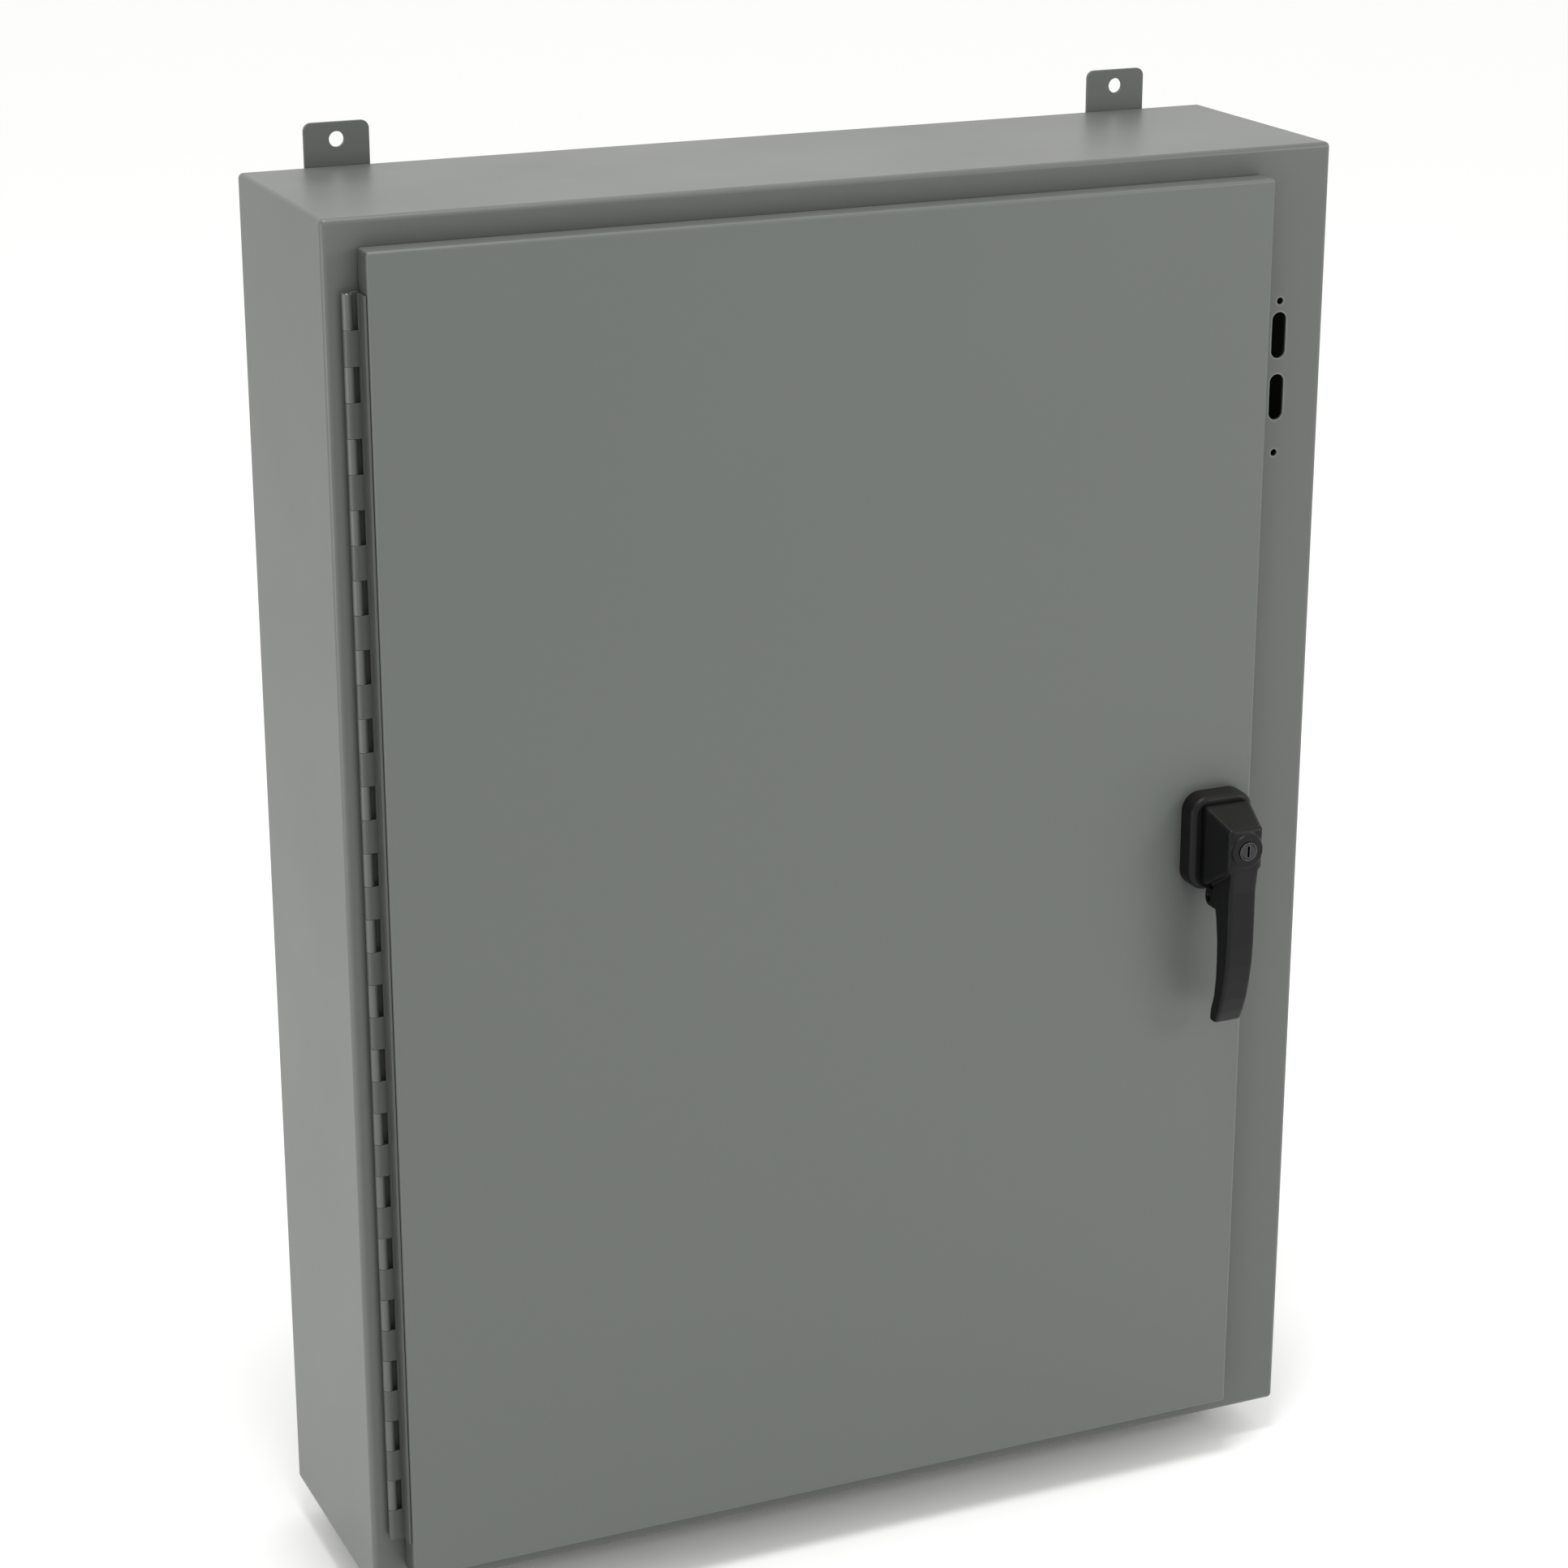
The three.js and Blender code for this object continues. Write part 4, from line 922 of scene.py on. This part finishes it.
# ------------------------ Arc covers
# Slotted black moulded hoods over the contact chambers, one for each source, each held by
# two slotted brass screws between the poles.
black_moulding = finish("moulded_black", (36, 36, 38), 0.42, cloudy=0.1, worn_and_lit=(64, 64, 66),
                        wear_and_highlight=0.3, dust=0.12, grain=800, cloud=20, depth=0.03)
pole_x = [centre_of(*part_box(f"pole_housing_{number}"))[0] for number in range(1, 4)]
for source in ("normal", "emergency"):
    node = f"arc_cover_{source}"
    low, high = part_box(node)
    z = centre_of(low, high)[1]
    eased(node, black_moulding, 1.1, 3)
    hardware(f"{node}_screws", brass, [
        slotted(((left + right) / 2, z), 3.6 * MM, low.y - 1.8 * MM, low.y, 0.7 + k)
        for k, (left, right) in enumerate(zip(pole_x, pole_x[1:]))])


# ------------------------ Transfer shaft and contacts
# A zinc-plated shaft carries three copper contact arms with silver tips, the crank that the
# solenoid pulls, and a steel hand lever that ends in a red ball knob.
lean = radians(25)
reach = Vector((0, -cos(lean), sin(lean)))
shaft_centre = Vector((0, frame_front - 38 * MM, 70 * MM))
arm_end, tip_start, stem_end = 39 * MM, 39.1 * MM, 74 * MM
knob_radius, knob_out, knob_flat, knob_neck = 10.8 * MM, 86 * MM, 8.6 * MM, 3.2 * MM
silver = finish("contact_silver", (214, 214, 210), 0.3, metal=1.0, cloudy=0.15, dust=0.0,
                grain=300, cloud=80, depth=0.02)


def parted(piece, at, keep_far):
    """Cuts a piece across the arm's length at a distance from the shaft, and closes the cut."""
    open_up(piece)
    pick_all()
    bpy.ops.mesh.bisect(plane_co=shaft_centre + reach * at, plane_no=reach, use_fill=True,
                        clear_inner=keep_far, clear_outer=not keep_far)
    shut()
    return piece


eased("transfer_shaft", zinc, 0.4)
for number in range(1, 4):
    node = f"contact_arm_{number}"
    arm = parted(taken_from(node, f"{node}_shape"), arm_end, False)
    tip = parted(taken_from(node, f"{node}_tip"), tip_start, True)
    ease(arm, 0.6)
    fitted(arm, "transfer_rotor", "copper_bar", copper, node)
    ease(tip, 0.9, 3)
    fitted(tip, "transfer_rotor", "zinc_steel", silver)

red = finish("red_grip", (176, 26, 20), 0.25, cloudy=0.05, worn_and_lit=(120, 20, 16), wear_and_highlight=0.2,
             dust=0.05, grain=700, cloud=20, depth=0.01, coat=0.4)
lever = parted(taken_from("manual_lever", "manual_lever_stem"), stem_end, False)
ease(lever, 0.5)
fitted(lever, "transfer_rotor", "zinc_steel", zinc, "manual_lever")
knob_centre = shaft_centre + reach * knob_out
knob_centre.x = centre_of(*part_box("manual_lever"))[0]
bpy.ops.object.select_all(action="DESELECT")
bpy.ops.mesh.primitive_uv_sphere_add(segments=40, ring_count=24, radius=knob_radius,
                                     location=knob_centre, rotation=(radians(90) - lean, 0, 0))
knob = settled("manual_lever_knob")
open_up(knob)
pick_all()
bpy.ops.mesh.bisect(plane_co=knob_centre - reach * knob_flat, plane_no=reach, use_fill=True,
                    clear_inner=True)
pick("FACE", lambda f: f.normal.dot(reach) < -0.999 and len(f.verts) > 6)
pull(-reach * knob_neck)
shut()
ease(knob, 0.4, 2, 50)
fitted(knob, "transfer_rotor", "red_grip", red)


# ------------------------ Solenoid operator
# A coil wound on a black bobbin and taped over, between two plated steel yoke plates. Its
# plunger hangs from it and turns the shaft's crank through a slotted yoke.
coil_tape = finish("coil_wrap", (128, 104, 46), 0.4, cloudy=0.15, dust=0.1, grain=500, cloud=40,
                   depth=0.05)
low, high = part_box("operator_coil")
coil_axis = centre_of(low, high)[0], low.y + 30 * MM
yoke_thick, yoke_corner, bore, turns = 7 * MM, 8 * MM, 7.4 * MM, 9
yokes = []
for bottom in (low.z, high.z - yoke_thick):
    yoke = block("yoke", (low.x, low.y, bottom), (high.x, high.y, bottom + yoke_thick))
    rounded(yoke, yoke_corner, 5, lambda e: runs(e, 2) and near(middle(e).y, low.y))
    cut_out(yoke, post("bore_tool", bore, coil_axis, low.z - MM, high.z - 3 * MM))
    yokes.append(ease(yoke, 0.5))
hardware("operator_yokes", zinc, yokes, "operator_coil")
coil_bottom, coil_top = low.z + yoke_thick, high.z - yoke_thick
wound_bottom, wound_top = coil_bottom + 3 * MM, coil_top - 3 * MM
winding = post("operator_winding", 25 * MM, coil_axis, wound_bottom, wound_top, 48)
layers = [wound_bottom + (wound_top - wound_bottom) / turns * k for k in range(1, turns)]
pinched(winding, 2, layers, layers[::2], (0.975, 0.975, 1), (*coil_axis, 0))
cut_out(winding, post("bore_tool", bore, coil_axis, coil_bottom, coil_top))
ease(winding, 0.8, 3)
fitted(winding, "cabinet", "coil_wrap", coil_tape)
flanges = []
for start, end in ((coil_bottom + 0.2 * MM, coil_bottom + 2.9 * MM),
                   (coil_top - 2.9 * MM, coil_top - 0.2 * MM)):
    flange = post("flange", 27 * MM, coil_axis, start, end, 48)
    cut_out(flange, post("bore_tool", bore, coil_axis, start - MM, end + MM))
    flanges.append(ease(flange, 0.6, 2))
gathered("operator_bobbin", "cabinet", "moulded_black", black_moulding, flanges)
eased("operator_plunger", zinc, 0.5)


# ------------------------ Control transformer
# A laminated, varnished core round a taped winding, on two steel feet, with a terminal
# block and two brass terminal screws on its front.
laminations = finish("transformer_core", (58, 60, 66), 0.5, metal=0.4, cloudy=0.15,
                     worn_and_lit=(96, 98, 104), wear_and_highlight=0.3, dust=0.1, grain=400, cloud=20, depth=0.04)
low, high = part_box("control_transformer")
(x, z), back = centre_of(low, high), high.y
feet = block("feet", (low.x, back - 3 * MM, z - 30 * MM), (high.x, back, z + 30 * MM))
rounded(feet, 6 * MM, 4, lambda e: runs(e, 1))
ease(feet, 0.4)
core = slab("core", (x, z), 38 * MM, 24 * MM, back - 72 * MM, back - 3 * MM)
sheets = [back - (6 + 3 * k) * MM for k in range(22)]
pinched(core, 1, sheets, sheets[::2], (0.985, 1, 0.975), (x, 0, z))
gathered("transformer_core_stack", "cabinet", "transformer_core", laminations, [feet, core],
         "control_transformer")
coils = []
for way in (1, -1):
    ends = sorted((z + way * 24.2 * MM, z + way * 40 * MM))
    coil = block("coil", (x - 24 * MM, back - 60 * MM, ends[0]), (x + 24 * MM, back - 14 * MM, ends[1]))
    coils.append(ease(coil, 4, 4))
gathered("transformer_winding", "cabinet", "coil_wrap", coil_tape, coils)
terminal = slab("transformer_terminal_block", (x, z), 32 * MM, 9 * MM, back - 76 * MM, back - 72.2 * MM)
ease(terminal, 0.8, 2)
fitted(terminal, "cabinet", "moulded_black", black_moulding)
hardware("transformer_screws", brass, [
    slotted((x + way * 20 * MM, z), 4 * MM, low.y + 0.2 * MM, back - 76.1 * MM, 0.3 + way)
    for way in (1, -1)] + [
    slotted((x + way * 43 * MM, z + end * 18 * MM), 3.6 * MM, back - 5.6 * MM, back - 3.1 * MM, 1.1 * way)
    for way in (1, -1) for end in (1, -1)])


# ------------------------ Control fuses
# Three cartridge fuses, each a fibre tube between two plated caps, pushed into spring
# clips of bare copper on a black moulded block.
fibre = finish("fuse_fibre", (214, 208, 188), 0.6, cloudy=0.05, dust=0.08, grain=500, cloud=40,
               depth=0.03)
low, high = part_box("fuse_block")
(x, z), back = centre_of(low, high), high.y
fuse_pitch, clip_rise = 30 * MM, 21 * MM
base = block("fuse_block_base", (low.x, back - 16 * MM, low.z), (high.x, back, high.z))
rounded(base, 3 * MM, 3, lambda e: runs(e, 1))
cut_out(base, *[block("rib_tool", (x + way * 15 * MM - MM, back - 17 * MM, low.z + 6 * MM),
                      (x + way * 15 * MM + MM, back - 12 * MM, high.z - 6 * MM)) for way in (-1, 1)])
ease(base, 0.6)
fitted(base, "cabinet", "moulded_black", black_moulding, "fuse_block")
tubes, caps, clips = [], [], []
for k in (-1, 0, 1):
    at = x + k * fuse_pitch
    axis = at, back - 25 * MM
    tubes.append(ease(post("tube", 6 * MM, axis, z - 15 * MM, z + 15 * MM, 28), 0.4))
    for way in (1, -1):
        cap = post("cap", 6.5 * MM, axis, z + way * 15.1 * MM, z + way * 26 * MM, 28)
        caps.append(ease(cap, 0.9, 3))
        place = at, z + way * clip_rise
        clip = slab("clip", place, 8 * MM, 4.5 * MM, back - 28 * MM, back - 16.2 * MM)
        cut_out(clip, post("clip_tool", 6.8 * MM, axis, z + way * 14 * MM, z + way * 28 * MM, 28),
                slab("clip_tool", place, 5 * MM, 6 * MM, back - 30 * MM, back - 26 * MM))
        clips.append(ease(clip, 0.3, 1))
gathered("fuse_tubes", "cabinet", "moulded_black", fibre, tubes)
hardware("fuse_caps", tinned, caps)
gathered("fuse_clips", "cabinet", "copper_bar", copper, clips)


# ------------------------ Terminal strip
# A black moulded barrier strip: ten ways between eleven barriers, with a pair of brass
# screws in each way over a plated link.
low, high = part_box("terminal_strip")
z, strip_floor = centre_of(low, high)[1], high.y - 14 * MM
way_pitch, first_way, ways = 14, 12, 10
eased("terminal_strip", black_moulding, 0.5)
links, screws = [], []
for k in range(ways):
    at = low.x + (first_way + way_pitch * k) * MM
    link = slab("link", (at, z), 5 * MM, 14 * MM, strip_floor - MM, strip_floor - 0.1 * MM)
    links.append(ease(link, 0.25, 1))
    for way in (1, -1):
        screws.append(slotted((at, z + way * 8 * MM), 3.6 * MM, strip_floor - 3.8 * MM,
                              strip_floor - 1.1 * MM, 0.5 + 1.7 * k + way))
hardware("terminal_links", tinned, links)
hardware("terminal_screws", brass, screws)


# ------------------------ Controller
# A light grey moulded housing under a dark front with a raised bezel round its display
# window, four lamps over three rubber push buttons, and a screw in each corner.
case_grey = finish("controller_housing_grey", (186, 188, 188), 0.5, cloudy=0.02, dust=0.1,
                   grain=900, depth=0.04)
face_dark = finish("controller_face", (58, 62, 68), 0.45, cloudy=0.04, worn_and_lit=(84, 88, 94),
                   wear_and_highlight=0.2, dust=0.05, grain=900, depth=0.02)
display = finish("display_glass", (56, 70, 60), 0.08, cloudy=0.02, dust=0.0, grain=200,
                 depth=0.0, coat=1.0)
key_rubber = finish("button_rubber", (164, 166, 168), 0.7, cloudy=0.04, dust=0.08, grain=900,
                    depth=0.03)
eased("controller_housing", case_grey, 1.2, 3)
eased("controller_cover", face_dark, 0.9, 3)
for number in range(1, 4):
    eased(f"controller_button_{number}", key_rubber, 0.7, 3)
low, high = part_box("controller_cover")
plate_front = low.y + 3 * MM
window_side, window_bottom, window_top = 32.6 * MM, high.z - 86.4 * MM, high.z - 29.6 * MM
glass = block("controller_display", (low.x + window_side, plate_front - 1.2 * MM, window_bottom),
              (high.x - window_side, plate_front - 0.1 * MM, window_top))
ease(glass, 0.3, 2)
fitted(glass, "cabinet", "controller_face", display)
lamp_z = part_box("controller_button_1")[1].z + 26 * MM
green, alarm_red, amber = (30, 96, 44), (150, 22, 18), (168, 110, 20)
for k, (share, colour) in enumerate(((0.24, green), (0.41, alarm_red), (0.59, amber), (0.76, green))):
    place = low.x + (high.x - low.x) * share, lamp_z
    lens = plug(f"controller_lamp_{k + 1}", 3 * MM, place, plate_front - 0.1 * MM, plate_front - 2 * MM, 24)
    ease(lens, 1.4, 4)
    fitted(lens, "cabinet", "controller_face",
           finish(f"lamp_lens_{k + 1}", colour, 0.15, dust=0.0, grain=200, depth=0.0, coat=0.8))
corner = 10 * MM
corners = [(x, z) for x in (low.x + corner, high.x - corner) for z in (low.z + corner, high.z - corner)]
hardware("controller_screws", zinc, [
    slotted(place, 3.2 * MM, plate_front - 1.8 * MM, plate_front - 0.1 * MM, 0.8 * k)
    for k, place in enumerate(corners)])


# ------------------------ Control harness
# The wires from the controller to the terminal strip run in a ribbed black sleeve, held to
# the panel by nylon ties on their saddles.
sleeve_black = finish("wire_sleeve", (34, 34, 35), 0.5, cloudy=0.1, dust=0.1, grain=420, cloud=30,
                      depth=0.25)
sleeve = taken_from("control_harness", "control_harness_sleeve")
fitted(sleeve, "cabinet", "wire_sleeve", sleeve_black, "control_harness")
low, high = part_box("control_harness")
sleeve_axis = high.x - 6.1 * MM, (low.y + high.y) / 2
ties = []
for at in (140 * MM, 20 * MM, -40 * MM):
    band = post("band", 6.5 * MM, sleeve_axis, at - 2.2 * MM, at + 2.2 * MM, 28)
    cut_out(band, post("band_tool", 5.3 * MM, sleeve_axis, at - 4 * MM, at + 4 * MM, 28))
    ease(band, 0.3, 1)
    saddle = block("saddle", (sleeve_axis[0] - 9 * MM, panel_front - 3.4 * MM, at - 9 * MM),
                   (sleeve_axis[0] + 5 * MM, panel_front - 0.2 * MM, at + 9 * MM))
    ease(saddle, 0.9, 2)
    ties += [band, saddle]
gathered("harness_ties", "cabinet", "nylon_black", nylon, ties)
